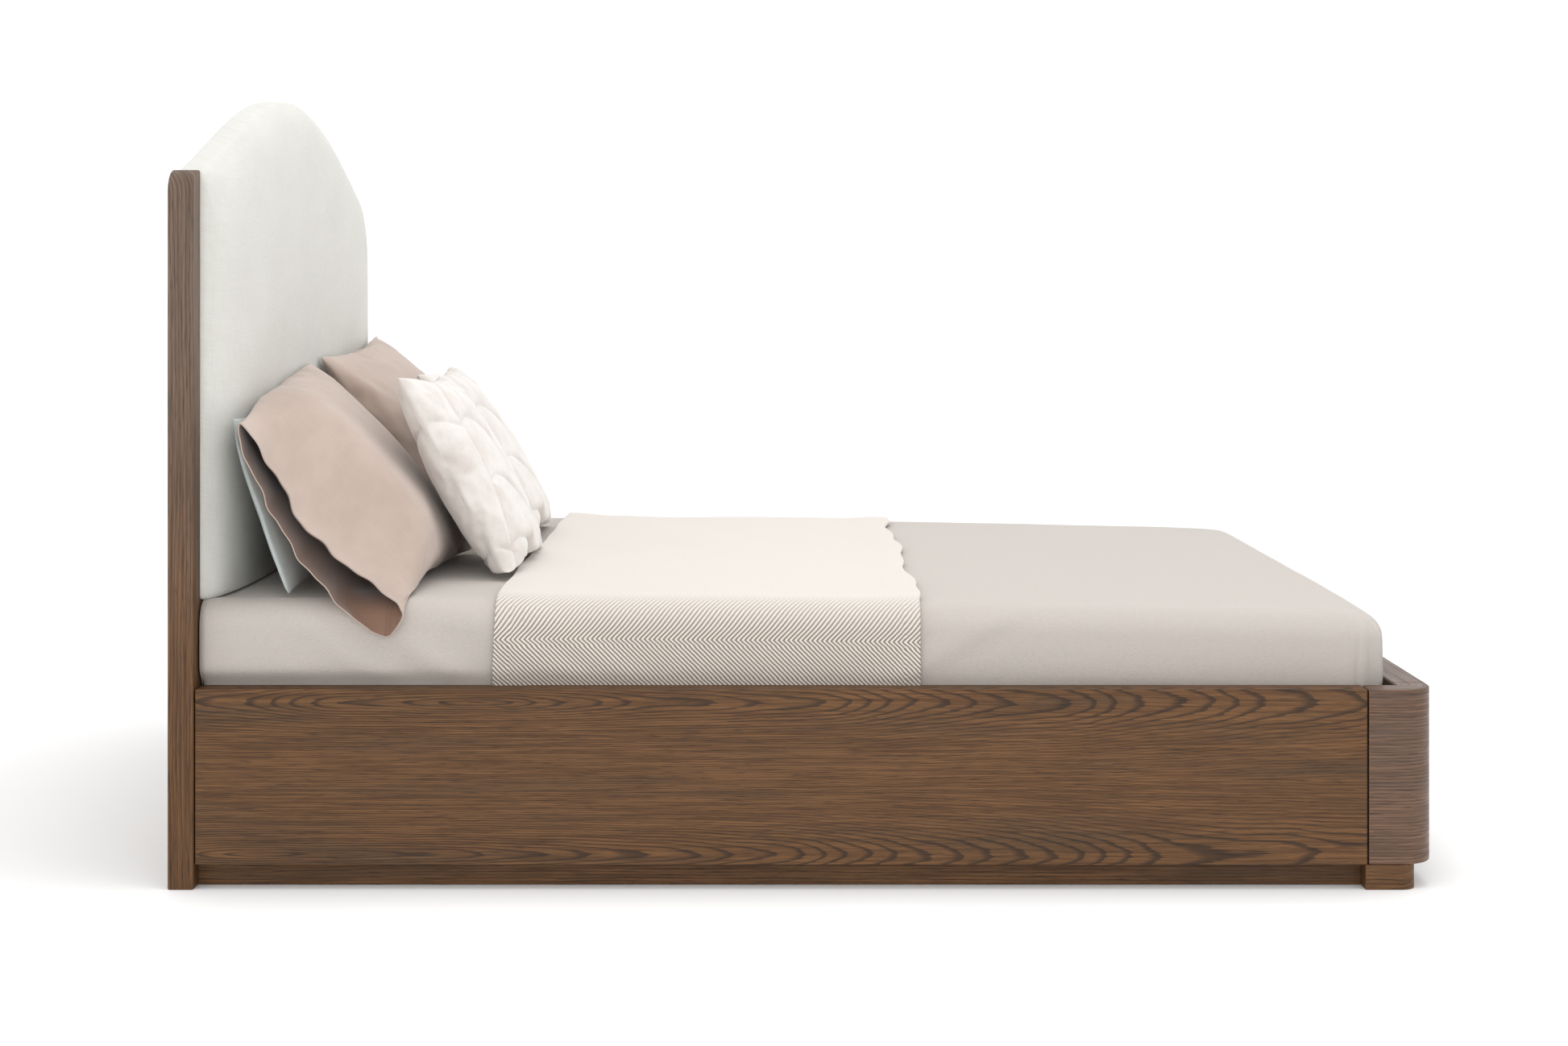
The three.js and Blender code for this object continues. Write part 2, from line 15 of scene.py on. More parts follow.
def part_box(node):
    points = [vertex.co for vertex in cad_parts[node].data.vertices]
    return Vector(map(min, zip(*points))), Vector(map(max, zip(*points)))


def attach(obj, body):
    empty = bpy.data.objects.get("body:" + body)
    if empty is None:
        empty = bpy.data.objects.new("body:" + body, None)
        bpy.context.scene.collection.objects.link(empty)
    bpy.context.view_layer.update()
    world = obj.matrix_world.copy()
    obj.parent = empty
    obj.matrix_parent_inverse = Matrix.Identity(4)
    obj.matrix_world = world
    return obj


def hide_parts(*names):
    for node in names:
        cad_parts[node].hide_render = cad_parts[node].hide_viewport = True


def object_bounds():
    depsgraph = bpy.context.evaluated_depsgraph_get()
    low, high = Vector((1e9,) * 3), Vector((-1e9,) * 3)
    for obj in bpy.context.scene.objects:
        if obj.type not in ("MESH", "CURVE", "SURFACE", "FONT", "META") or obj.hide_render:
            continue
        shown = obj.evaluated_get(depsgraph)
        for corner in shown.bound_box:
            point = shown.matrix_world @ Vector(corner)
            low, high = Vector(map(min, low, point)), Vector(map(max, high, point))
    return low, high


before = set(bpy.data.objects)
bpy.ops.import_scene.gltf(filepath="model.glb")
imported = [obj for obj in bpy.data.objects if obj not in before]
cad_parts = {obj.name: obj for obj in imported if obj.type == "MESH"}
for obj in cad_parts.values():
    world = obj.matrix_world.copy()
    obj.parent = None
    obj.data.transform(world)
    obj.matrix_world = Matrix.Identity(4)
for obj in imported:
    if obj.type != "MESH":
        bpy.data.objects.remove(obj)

CAD_LOW, CAD_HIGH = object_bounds()
scene = bpy.context.scene
FRAME_BODY = "frame"


# ---------------------------------------------------------------- places taken from the frame
_, POST_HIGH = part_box("headboard_post_near")
PAD_LOW, PAD_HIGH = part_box("headboard_pad")
PANEL_LOW, PANEL_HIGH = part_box("headboard_panel")
COVER_LOW, COVER_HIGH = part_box("headboard_dust_cover")
RAIL_LOW, RAIL_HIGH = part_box("side_rail_near")
MATTRESS_LOW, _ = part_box("mattress")
BLANKET_LOW, BLANKET_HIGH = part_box("blanket")
THROW_LOW, THROW_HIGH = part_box("throw")


# ---------------------------------------------------------------- mesh helpers
def mesh_object(name, points, faces, cut=None, smooth=True):
    """A mesh object in the frame's axes. cut gives each point its place on the flat cloth, in metres."""
    mesh = bpy.data.meshes.new(name)
    mesh.from_pydata([tuple(map(float, p)) for p in points], [], faces)
    mesh.validate()
    if cut is not None:
        store_cut(mesh, cut)
    piece = bpy.data.objects.new(name, mesh)
    scene.collection.objects.link(piece)
    mesh.polygons.foreach_set("use_smooth", [smooth] * len(mesh.polygons))
    return piece


def store_cut(mesh, cut):
    flat = mesh.attributes.new("cut", "FLOAT_VECTOR", "POINT")
    padded_cut = np.zeros((len(mesh.vertices), 3), np.float32)
    padded_cut[:, : cut.shape[1]] = cut
    flat.data.foreach_set("vector", padded_cut.ravel())


def points_of(piece):
    co = np.zeros(len(piece.data.vertices) * 3)
    piece.data.vertices.foreach_get("co", co)
    return co.reshape(-1, 3)


def move_points(piece, points):
    piece.data.vertices.foreach_set("co", np.asarray(points, float).ravel())
    piece.data.update()


def smoothstep(low, high, value):
    t = np.clip((np.asarray(value, float) - low) / (high - low), 0, 1)
    return t * t * (3 - 2 * t)


def fractal(x, y, z, octaves=2):
    return noise.fractal(Vector((x, y, z)), 0.6, 2.1, octaves)


def ring_faces(rows, per_row, start=0):
    """Quads between closed rings of points, each ring following the last."""
    faces = []
    for r in range(rows - 1):
        for k in range(per_row):
            n = (k + 1) % per_row
            a = start + r * per_row
            faces.append((a + k, a + n, a + per_row + n, a + per_row + k))
    return faces


def subdivide(piece, levels=1):
    modifier = piece.modifiers.new("smooth", "SUBSURF")
    modifier.levels = levels
    modifier.render_levels = levels


def thicken(piece, thickness, offset=-1.0):
    modifier = piece.modifiers.new("thickness", "SOLIDIFY")
    modifier.thickness = thickness
    modifier.offset = offset
    modifier.use_even_offset = False


def apply_modifiers(piece):
    depsgraph = bpy.context.evaluated_depsgraph_get()
    made = bpy.data.meshes.new_from_object(piece.evaluated_get(depsgraph))
    piece.modifiers.clear()
    piece.data = made


# ---------------------------------------------------------------- node helpers
class Material:
    """A Principled material and short calls that add nodes to it."""

    def __init__(self, name, roughness, metallic=0.0, sheen=0.0, specular=0.5):
        self.material = bpy.data.materials.new(name)
        self.material.use_nodes = True
        self.tree = self.material.node_tree
        self.shader = self.tree.nodes["Principled BSDF"]
        self.shader.inputs["Roughness"].default_value = roughness
        self.shader.inputs["Metallic"].default_value = metallic
        self.shader.inputs["Sheen Weight"].default_value = sheen
        self.shader.inputs["Sheen Roughness"].default_value = 0.5
        self.shader.inputs["Specular IOR Level"].default_value = specular

    def node(self, kind, **values):
        made = self.tree.nodes.new(kind)
        for key, value in values.items():
            setattr(made, key, value)
        return made

    def feed(self, socket, value):
        if isinstance(value, bpy.types.NodeSocket):
            self.tree.links.new(value, socket)
        else:
            socket.default_value = value

    def math(self, operation, a, b=0.0, c=0.0):
        made = self.node("ShaderNodeMath", operation=operation)
        for socket, value in zip(made.inputs, (a, b, c)):
            self.feed(socket, value)
        return made.outputs[0]

    def vector(self, x=0.0, y=0.0, z=0.0):
        made = self.node("ShaderNodeCombineXYZ")
        for socket, value in zip(made.inputs, (x, y, z)):
            self.feed(socket, value)
        return made.outputs[0]

    def split(self, vector):
        made = self.node("ShaderNodeSeparateXYZ")
        self.feed(made.inputs[0], vector)
        return made.outputs[0], made.outputs[1], made.outputs[2]

    def place(self):
        """The point's place in the CAD frame."""
        return self.split(self.node("ShaderNodeTexCoord").outputs["Object"])

    def cut(self):
        """The point's place on the flat cloth."""
        return self.split(self.node("ShaderNodeAttribute", attribute_name="cut").outputs["Vector"])

    def noise(self, vector, scale=1.0, detail=2.0, roughness=0.5):
        made = self.node("ShaderNodeTexNoise")
        self.feed(made.inputs["Vector"], vector)
        self.feed(made.inputs["Scale"], scale)
        self.feed(made.inputs["Detail"], detail)
        self.feed(made.inputs["Roughness"], roughness)
        return made.outputs["Fac"]

    def streaks(self, a, b, scale_a, scale_b, offset, detail, roughness):
        """Noise with its own scale along each of two coordinates."""
        place = self.vector(self.math("MULTIPLY", a, scale_a), self.math("MULTIPLY", b, scale_b), offset)
        return self.noise(place, 1.0, detail, roughness)

    def ramp(self, value, low, high, to_low=0.0, to_high=1.0):
        made = self.node("ShaderNodeMapRange", interpolation_type="SMOOTHSTEP")
        keys = ("Value", "From Min", "From Max", "To Min", "To Max")
        for key, given in zip(keys, (value, low, high, to_low, to_high)):
            self.feed(made.inputs[key], given)
        return made.outputs["Result"]

    def mix(self, factor, first, second):
        made = self.node("ShaderNodeMix", data_type="RGBA")
        self.feed(made.inputs["Factor"], factor)
        self.feed(made.inputs[6], (*first, 1.0) if isinstance(first, tuple) else first)
        self.feed(made.inputs[7], (*second, 1.0) if isinstance(second, tuple) else second)
        return made.outputs[2]

    def color(self, value):
        self.feed(self.shader.inputs["Base Color"], value)

    def roughness(self, value):
        self.feed(self.shader.inputs["Roughness"], value)

    def bump(self, height, distance, strength=1.0):
        made = self.node("ShaderNodeBump")
        made.inputs["Distance"].default_value = distance
        made.inputs["Strength"].default_value = strength
        self.feed(made.inputs["Height"], height)
        self.feed(self.shader.inputs["Normal"], made.outputs["Normal"])


def thread(m, coordinate, pitch, wobble=0.0):
    """A rounded thread profile, 0 to 1, repeating at pitch."""
    angle = m.math("MULTIPLY", m.math("ADD", coordinate, wobble), 2 * math.pi / pitch)
    return m.math("MULTIPLY_ADD", m.math("SINE", angle), 0.5, 0.5)


def paint(piece_or_node, material):
    slots = piece_or_node.data.materials
    slots.clear()
    slots.append(material)


# ---------------------------------------------------------------- wood
OAK = {
    "light": (0.156, 0.073, 0.027),
    "mid": (0.087, 0.040, 0.015),
    "dark": (0.020, 0.012, 0.008),
    "grey": (0.062, 0.037, 0.020),
}
# Painted reflection: greyer, lighter tones for the upper part of the headboard post, standing in for the
# sheen it catches there.
POST_OAK_PAINTED_REFLECTION = {
    "light": (0.172, 0.115, 0.083),
    "mid": (0.112, 0.074, 0.052),
    "dark": (0.042, 0.030, 0.024),
    "grey": (0.125, 0.098, 0.082),
}
CORNER_RADIUS = 0.057
TIMBER_RING = 0.006
CORNER_OAK = {
    "light": (0.178, 0.100, 0.062),
    "mid": (0.098, 0.056, 0.036),
    "dark": (0.038, 0.026, 0.021),
    "grey": (0.085, 0.064, 0.052),
}


def band_coordinates(m):
    """Along and across a board that wraps round the foot corners: along is the distance along the outer
    face, and across is height plus depth under that face."""
    x, y, z = m.place()
    y = m.math("ABSOLUTE", y)
    centre_x = CAD_HIGH.x - CORNER_RADIUS
    centre_y = CAD_HIGH.y - CORNER_RADIUS
    beyond_x = m.math("MAXIMUM", m.math("SUBTRACT", x, centre_x), 0.0)
    beyond_y = m.math("MAXIMUM", m.math("SUBTRACT", y, centre_y), 0.0)
    squares = m.math("ADD", m.math("MULTIPLY", beyond_x, beyond_x), m.math("MULTIPLY", beyond_y, beyond_y))
    depth = m.math("SUBTRACT", CORNER_RADIUS, m.math("SQRT", squares))
    return m.math("SUBTRACT", x, y), m.math("SUBTRACT", z, depth)


def post_coordinates(m):
    x, y, z = m.place()
    return z, m.math("MULTIPLY_ADD", y, 0.83, x)


def length_coordinates(m):
    x, y, z = m.place()
    return x, m.math("MULTIPLY_ADD", y, 0.9, z)


def width_coordinates(m):
    x, y, z = m.place()
    return y, m.math("MULTIPLY_ADD", z, 0.9, x)


def grain(m, along, across, seed, spacing, hearts=()):
    """Growth rings of a trunk cut lengthwise. Each heart is (across, depth, slope): the line nearest the
    pith, the pith's depth under the face, and how fast that depth grows along the board, so the rings open
    into nested arches there. Returns the dark lines, their weight, fibres, pores and streaks."""
    seeded = m.math("ADD", along, seed)
    fibre = m.streaks(seeded, across, 6.0, 300.0, 1.3, 3.0, 0.6)
    pore = m.streaks(seeded, across, 26.0, 620.0, 7.7, 1.0, 0.5)
    streak = m.streaks(seeded, across, 1.7, 26.0, 4.1, 3.0, 0.6)
    wobble = m.streaks(seeded, across, 7.0, 30.0, seed, 2.0, 0.5)
    if hearts:
        nearest = None
        for place, depth, slope in hearts:
            aside = m.math("SUBTRACT", across, place)
            drift = m.noise(m.vector(m.math("MULTIPLY", seeded, 1.6), place * 40, seed), 1.0, 2.0, 0.6)
            pith = m.math("MULTIPLY_ADD", along, slope, depth)
            pith = m.math("MULTIPLY_ADD", m.math("SUBTRACT", drift, 0.5), 0.75 * slope, pith)
            squares = m.math("MULTIPLY_ADD", pith, pith, m.math("MULTIPLY", aside, aside))
            radius = m.math("SQRT", squares)
            apart = m.math("ABSOLUTE", aside)
            nearest = (radius, apart) if nearest is None else (
                m.math("MINIMUM", nearest[0], radius), m.math("MINIMUM", nearest[1], apart))
        field_rings = m.math("DIVIDE", nearest[0], spacing)
        weight = m.ramp(nearest[1], 0.085, 0.015, 0.36, 0.72)
    else:
        wander = m.streaks(seeded, across, 1.1, 6.0, seed, 1.5, 0.5)
        field_rings = m.math("MULTIPLY_ADD", wander, 5.0, m.math("DIVIDE", across, spacing))
        weight = 0.42
    rough_edge = m.math("MULTIPLY_ADD", wobble, 1.1, m.math("MULTIPLY", fibre, 0.45))
    field_rings = m.math("ADD", field_rings, rough_edge)
    rings = m.math("FRACT", field_rings)
    lines_dark = m.math("MULTIPLY", m.ramp(rings, 0.54, 0.84), m.ramp(rings, 1.0, 0.93))
    return lines_dark, weight, fibre, pore, streak


def oak(name, coordinates, seed, spacing=0.0046, hearts=(), tones=OAK, roughness=0.5, low_tones=None):
    """Stained oak. low_tones, if given, are the tones at the foot of an upright piece; higher up it blends to
    tones, which on the post are a painted reflection, greyer and lighter.
    """
    m = Material(name, roughness=roughness, specular=0.25)
    along, across = coordinates(m)
    lines_dark, weight, fibre, pore, streak = grain(m, along, across, seed, spacing, hearts)
    if low_tones:
        # Blends from the foot tones up to the upper tones; on the post that upper blend is painted
        # reflection.
        high = m.ramp(along, 0.25, 1.0)
        tones = {tone: m.mix(high, low_tones[tone], tones[tone]) for tone in tones}
    body = m.mix(m.ramp(fibre, 0.34, 0.66), tones["mid"], tones["light"])
    body = m.mix(m.ramp(streak, 0.46, 0.76, 0.0, 0.6), body, tones["grey"])
    lined = m.mix(m.math("MULTIPLY", lines_dark, weight), body, tones["dark"])
    pores = m.math("MULTIPLY", m.ramp(pore, 0.54, 0.68), m.math("MULTIPLY_ADD", lines_dark, 0.30, 0.42))
    m.color(m.mix(pores, lined, tones["dark"]))
    m.roughness(m.ramp(fibre, 0.2, 0.8, roughness + 0.12, roughness - 0.05))
    sunken = m.math("ADD", pores, m.math("MULTIPLY", lines_dark, 0.3))
    height = m.math("SUBTRACT", m.math("MULTIPLY", fibre, 0.5), sunken)
    m.bump(height, 0.0003, 0.5)
    return m.material


def timber(name, coordinates, seed, light, dark):
    """Unfinished support timber."""
    m = Material(name, roughness=0.72, specular=0.3)
    along, across = coordinates(m)
    lines_dark, _, fibre, _, _ = grain(m, along, across, seed, TIMBER_RING)
    body = m.mix(m.ramp(fibre, 0.3, 0.7), dark, light)
    m.color(m.mix(m.math("MULTIPLY", lines_dark, 0.4), body, tuple(c * 0.62 for c in dark)))
    m.bump(m.math("MULTIPLY", fibre, 0.5), 0.0003, 0.5)
    return m.material


def plywood(name):
    m = Material(name, roughness=0.7, specular=0.3)
    x, y, z = m.place()
    face = m.streaks(y, z, 3.0, 70.0, 2.0, 3.0, 0.6)
    plies = thread(m, x, 0.006)
    body = m.mix(m.ramp(face, 0.3, 0.7), (0.42, 0.28, 0.15), (0.60, 0.44, 0.27))
    m.color(m.mix(m.math("MULTIPLY", plies, 0.35), body, (0.25, 0.15, 0.08)))
    m.bump(face, 0.0002, 0.5)
    return m.material


# ---------------------------------------------------------------- metal and plastic
def powder_coat(name, color, roughness=0.5):
    m = Material(name, roughness=roughness, specular=0.5)
    x, y, z = m.place()
    orange_peel = m.noise(m.vector(x, y, z), 900.0, 2.0, 0.5)
    wear = m.noise(m.vector(x, y, z), 60.0, 3.0, 0.6)
    m.color(m.mix(m.ramp(wear, 0.45, 0.75), color, tuple(c * 1.7 for c in color)))
    m.roughness(m.ramp(wear, 0.3, 0.7, roughness - 0.08, roughness + 0.1))
    m.bump(orange_peel, 0.0002, 0.4)
    return m.material


def zinc(name):
    m = Material(name, roughness=0.35, metallic=1.0)
    x, y, z = m.place()
    brushed = m.streaks(x, y, 60.0, 900.0, m.math("MULTIPLY", z, 900.0), 2.0, 0.5)
    m.color(m.mix(brushed, (0.42, 0.43, 0.44), (0.66, 0.67, 0.68)))
    m.roughness(m.ramp(brushed, 0.3, 0.7, 0.28, 0.45))
    m.bump(brushed, 0.0001, 0.3)
    return m.material


# ---------------------------------------------------------------- cloth
def plain_weave(m, u, v, pitch):
    """Over-and-under threads in two directions, with slubs; returns height and thread tone."""
    slub_u = m.streaks(u, v, 18.0, 900.0, 0.0, 2.0, 0.6)
    slub_v = m.streaks(u, v, 900.0, 18.0, 3.0, 2.0, 0.6)
    warp = thread(m, u, pitch, m.math("MULTIPLY", slub_v, pitch * 0.6))
    weft = thread(m, v, pitch, m.math("MULTIPLY", slub_u, pitch * 0.6))
    height = m.math("MAXIMUM", m.math("MULTIPLY", warp, slub_v), m.math("MULTIPLY", weft, slub_u))
    tone = m.math("ADD", m.math("MULTIPLY", slub_u, 0.5), m.math("MULTIPLY", slub_v, 0.5))
    return height, tone


def linen(name, light, dark, pitch=0.0011):
    m = Material(name, roughness=0.92, sheen=0.25, specular=0.2)
    x, y, z = m.place()
    u = m.math("ADD", y, m.math("MULTIPLY", x, 0.97))
    v = m.math("ADD", z, m.math("MULTIPLY", x, 0.31))
    height, tone = plain_weave(m, u, v, pitch)
    patch = m.streaks(u, v, 5.0, 9.0, 1.0, 3.0, 0.6)
    shade = m.math("MULTIPLY_ADD", patch, 0.25, m.math("MULTIPLY", tone, 0.9))
    m.color(m.mix(m.ramp(shade, 0.36, 0.78), dark, light))
    m.bump(height, 0.0006, 0.7)
    return m.material


def cotton(name, light, dark, pitch=0.0006, sheen=0.35):
    """Washed cotton on a piece with a flat cut."""
    m = Material(name, roughness=0.85, sheen=sheen, specular=0.2)
    u, v, _ = m.cut()
    height, tone = plain_weave(m, u, v, pitch)
    cloud = m.noise(m.vector(u, v, 0.0), 7.0, 3.0, 0.6)
    shade = m.math("MULTIPLY_ADD", cloud, 0.7, m.math("MULTIPLY", tone, 0.4))
    m.color(m.mix(m.ramp(shade, 0.35, 0.75), dark, light))
    m.bump(height, 0.0003, 0.5)
    return m.material


def twill(name, light, dark, pitch=0.0022):
    """A fine twill: short diagonal ribs."""
    m = Material(name, roughness=0.9, sheen=0.3, specular=0.2)
    u, v, _ = m.cut()
    rib = thread(m, m.math("ADD", u, v), pitch)
    cross = thread(m, m.math("SUBTRACT", u, m.math("MULTIPLY", v, 0.5)), pitch * 1.7)
    grain_noise = m.streaks(u, v, 500.0, 160.0, 0.0, 2.0, 0.5)
    shade = m.math("MULTIPLY_ADD", rib, 0.45, m.math("MULTIPLY", grain_noise, 0.55))
    m.color(m.mix(m.ramp(shade, 0.2, 0.8), dark, light))
    m.bump(m.math("MULTIPLY_ADD", cross, 0.5, rib), 0.0005, 0.6)
    return m.material


def herringbone(name, cream, taupe, stripe=0.0082, column=0.16, phase=0.0):
    """Diagonal stripes that turn at each column's edge, fading to cream towards the middle of the throw."""
    m = Material(name, roughness=0.92, sheen=0.3, specular=0.2)
    u, v, _ = m.cut()
    folded = m.math("PINGPONG", m.math("ADD", u, phase), column)
    diagonal = m.math("ADD", v, folded)
    slub = m.streaks(u, v, 260.0, 260.0, 0.0, 2.0, 0.5)
    stripes = thread(m, diagonal, stripe, m.math("MULTIPLY", slub, stripe * 0.10))
    fade = m.ramp(m.math("ABSOLUTE", u), 0.70, 0.80)
    dark = m.math("MULTIPLY", m.ramp(stripes, 0.42, 0.72), m.math("MULTIPLY_ADD", fade, 0.82, 0.10))
    mottled = m.mix(m.ramp(slub, 0.3, 0.7), tuple(c * 0.93 for c in cream), cream)
    m.color(m.mix(dark, mottled, taupe))
    rib = thread(m, m.math("SUBTRACT", v, folded), stripe * 0.5)
    m.bump(m.math("ADD", m.math("MULTIPLY", stripes, -1.0), m.math("MULTIPLY", rib, 0.4)), 0.0007, 0.7)
    return m.material


def plush(name, light, dark):
    m = Material(name, roughness=0.95, sheen=0.6, specular=0.15)
    u, v, _ = m.cut()
    pile = m.noise(m.vector(u, v, 0.0), 700.0, 2.0, 0.6)
    nap = m.noise(m.vector(u, v, 5.0), 16.0, 4.0, 0.62)
    shade = m.math("MULTIPLY_ADD", nap, 0.8, m.math("MULTIPLY", pile, 0.2))
    m.color(m.mix(m.ramp(shade, 0.35, 0.62), dark, light))
    m.bump(pile, 0.0006, 0.5)
    return m.material


# ---------------------------------------------------------------- camera, light and floor
CAMERA_LENS = 56.4
CAMERA_DISTANCE = 4.16
CAMERA_X = -0.0307
CAMERA_Z = 1.0266
CAMERA_SHIFT_Y = -0.1526
SENSOR_WIDTH = 36.0
WORLD_STRENGTH = 1.12
OVERHEAD_POWER = 58
FRONT_POWER = 48
FLOOR_HALF = 60


def make_camera():
    data = bpy.data.cameras.new("camera")
    data.lens = CAMERA_LENS
    data.sensor_width = SENSOR_WIDTH
    data.shift_y = CAMERA_SHIFT_Y
    camera = bpy.data.objects.new("camera", data)
    camera.location = (CAMERA_X, CAD_LOW.y - CAMERA_DISTANCE, CAMERA_Z)
    camera.rotation_euler = (math.radians(90), 0, 0)
    scene.collection.objects.link(camera)
    scene.camera = camera


def area_light(name, place, target, size, power):
    data = bpy.data.lights.new(name, "AREA")
    data.shape = "RECTANGLE"
    data.size, data.size_y = size
    data.energy = power
    lamp = bpy.data.objects.new(name, data)
    lamp.location = place
    lamp.rotation_euler = (Vector(target) - Vector(place)).to_track_quat("-Z", "Y").to_euler()
    scene.collection.objects.link(lamp)


def make_studio():
    world = bpy.data.worlds.new("studio")
    world.use_nodes = True
    background = world.node_tree.nodes["Background"]
    background.inputs["Color"].default_value = (1.0, 1.0, 1.0, 1.0)
    background.inputs["Strength"].default_value = WORLD_STRENGTH
    scene.world = world
    scene.view_settings.view_transform = "Standard"
    area_light("overhead", (0.5, -0.4, 4.2), (0.0, 0.0, 0.4), (3.0, 3.0), OVERHEAD_POWER)
    area_light("front", (0.2, -5.5, 2.2), (0.0, 0.0, 0.6), (3.5, 2.0), FRONT_POWER)
    corners = [(FLOOR_HALF * x, FLOOR_HALF * y, 0) for x, y in ((-1, -1), (1, -1), (1, 1), (-1, 1))]
    floor = mesh_object("floor", corners, [(0, 1, 2, 3)], smooth=False)
    m = Material("floor_paint", roughness=0.9, specular=0.1)
    x, y, z = m.place()
    m.color(m.mix(m.noise(m.vector(x, y, z), 2.0, 2.0, 0.5), (0.93, 0.93, 0.93), (0.96, 0.96, 0.96)))
    paint(floor, m.material)


# ---------------------------------------------------------------- headboard upholstery
ARCH_HALF = PAD_HIGH.y
ARCH_BASE = POST_HIGH.z
ARCH_RISE = PAD_HIGH.z - POST_HIGH.z
ARCH_POWER = 1.12
ARCH_POINTS = 64
SIDE_POINTS = 24
SHOULDER_POINTS = 12
BASE_POINTS = 48


def arch_height(y):
    along = max(0.0, 1 - abs(y) / ARCH_HALF)
    return ARCH_BASE + ARCH_RISE * math.sin(math.pi / 2 * along**ARCH_POWER)


def pad_bottom(y):
    """The pad comes down to the made bed, whose top is a little lower at its sides."""
    crown = 0.004 * abs(y / PAD_HIGH.y) ** 3
    rounding = 0.008 * float(smoothstep(0.70, 0.76, abs(y)))
    return PAD_LOW.z + 0.002 - crown - rounding


def arch_ring(inset, bottom=None):
    """The headboard's outline, pulled in by inset, as (y, z) points. Its shoulders are sharp at the back and
    softly rounded in front."""
    half = ARCH_HALF - inset
    low = pad_bottom(half) if bottom is None else bottom
    round_off = 0.018 + 0.072 * float(smoothstep(0.0, 0.030, inset))
    corner = np.array([half, ARCH_BASE - inset])
    start = corner - np.array([0, round_off])
    y_end = half - round_off
    stretch = ARCH_HALF / half
    end = np.array([y_end, arch_height(y_end * stretch) - inset])
    shoulder = []
    for i in range(SHOULDER_POINTS):
        t = i / SHOULDER_POINTS
        shoulder.append((1 - t) ** 2 * start + 2 * t * (1 - t) * corner + t * t * end)
    right = [(half, low + (start[1] - low) * j / SIDE_POINTS) for j in range(1, SIDE_POINTS)]
    top = [(y, arch_height(y * stretch) - inset) for y in np.linspace(y_end, -y_end, ARCH_POINTS + 1)]
    left = [(-y, z) for y, z in right[::-1]]
    across = [-half + 2 * half * j / BASE_POINTS for j in range(BASE_POINTS + 1)]
    base = [(y, pad_bottom(y) if bottom is None else bottom) for y in across]
    return base + right + [tuple(p) for p in shoulder] + top + [(-p[0], p[1]) for p in shoulder[::-1]] + left


def make_headboard():
    back = PAD_LOW.x
    front = PAD_HIGH.x
    pocket_front = PANEL_HIGH.x + 0.0012
    lip = PANEL_LOW.y - PAD_LOW.y - 0.0006
    profile = [
        (lip, pocket_front), (lip, back + 0.001), (lip * 0.55, back), (0.0015, back + 0.0015),
        (0.0, back + 0.006),
        (0.0, back + 0.020), (0.0, front - 0.053), (0.0008, front - 0.046), (0.003, front - 0.041),
        (0.006, front - 0.0375), (0.011, front - 0.033), (0.018, front - 0.0265), (0.026, front - 0.0210),
        (0.036, front - 0.0160), (0.048, front - 0.0120), (0.064, front - 0.0085), (0.085, front - 0.0055),
        (0.115, front - 0.0028), (0.15, front - 0.0005), (0.21, front + 0.0015), (0.28, front + 0.0028),
        (0.345, front + 0.0034),
    ]
    rings = [arch_ring(inset) for inset, _ in profile]
    per_ring = len(rings[0])
    points = [(x, y, z) for (_, x), ring in zip(profile, rings) for y, z in ring]
    faces = [face[::-1] for face in ring_faces(len(profile), per_ring)]
    last = (len(profile) - 1) * per_ring
    faces.append(tuple(range(last + per_ring - 1, last - 1, -1)))
    faces.append(tuple(range(per_ring)))
    pad = mesh_object("headboard_upholstery", points, faces)
    relax_cloth(pad)
    paint(pad, linen("headboard_linen", (0.660, 0.655, 0.615), (0.550, 0.545, 0.505)))
    subdivide(pad)
    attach(pad, FRAME_BODY)
    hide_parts("headboard_pad")


def make_dust_cover():
    """Thin black cloth tacked over the back of the panel, a little loose between its tacked edges."""
    inset = PAD_HIGH.y - COVER_HIGH.y
    outline = np.array(arch_ring(inset, COVER_LOW.z))
    middle = np.array([0.0, (COVER_LOW.z + COVER_HIGH.z) / 2])
    rings = 14
    points = []
    for i in range(rings):
        size = 1 - i / rings
        for y, z in middle + (outline - middle) * size:
            loose = 0.0016 * (1 - size**4) * (1 + fractal(y * 5, z * 5, 2.0))
            points.append((COVER_LOW.x + 0.0004 - loose, y, z))
    count = len(outline)
    faces = [face[::-1] for face in ring_faces(rings, count)]
    faces.append(tuple(range((rings - 1) * count, rings * count))[::-1])
    cloth = mesh_object("dust_cover_cloth", points, faces, cut=np.array([(p[1], p[2]) for p in points]))
    paint(cloth, linen("dust_cloth", (0.045, 0.045, 0.050), (0.026, 0.026, 0.030)))
    thicken(cloth, 0.0008, 0.0)
    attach(cloth, FRAME_BODY)
    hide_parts("headboard_dust_cover")


def relax_cloth(pad):
    """Very slight waviness, so that the cloth doesn't look machined."""
    points = points_of(pad)
    for p in points:
        if p[0] > PAD_HIGH.x - 0.02:
            p[0] += 0.0012 * fractal(p[1] * 3.1, p[2] * 3.1, 0.5)
    move_points(pad, points)


# ---------------------------------------------------------------- bedding laid over the mattress
BED_HEAD = MATTRESS_LOW.x + 0.001
BED_FOOT = BLANKET_HIGH.x - 0.002
BED_HALF = BLANKET_HIGH.y - 0.0015
BED_CENTRE = (BED_HEAD + BED_FOOT) / 2
EDGE_RADIUS = 0.040
FOOT_CORNER = 0.058
HEM_Z = BLANKET_LOW.z + 0.004
FLAT_X = (BED_FOOT - BED_HEAD) / 2 - EDGE_RADIUS
FLAT_Y = BED_HALF - EDGE_RADIUS
WALL = BLANKET_HIGH.z - HEM_Z - EDGE_RADIUS
DROP = EDGE_RADIUS * math.pi / 2 + WALL
MATTRESS_DROP = DROP - 0.004


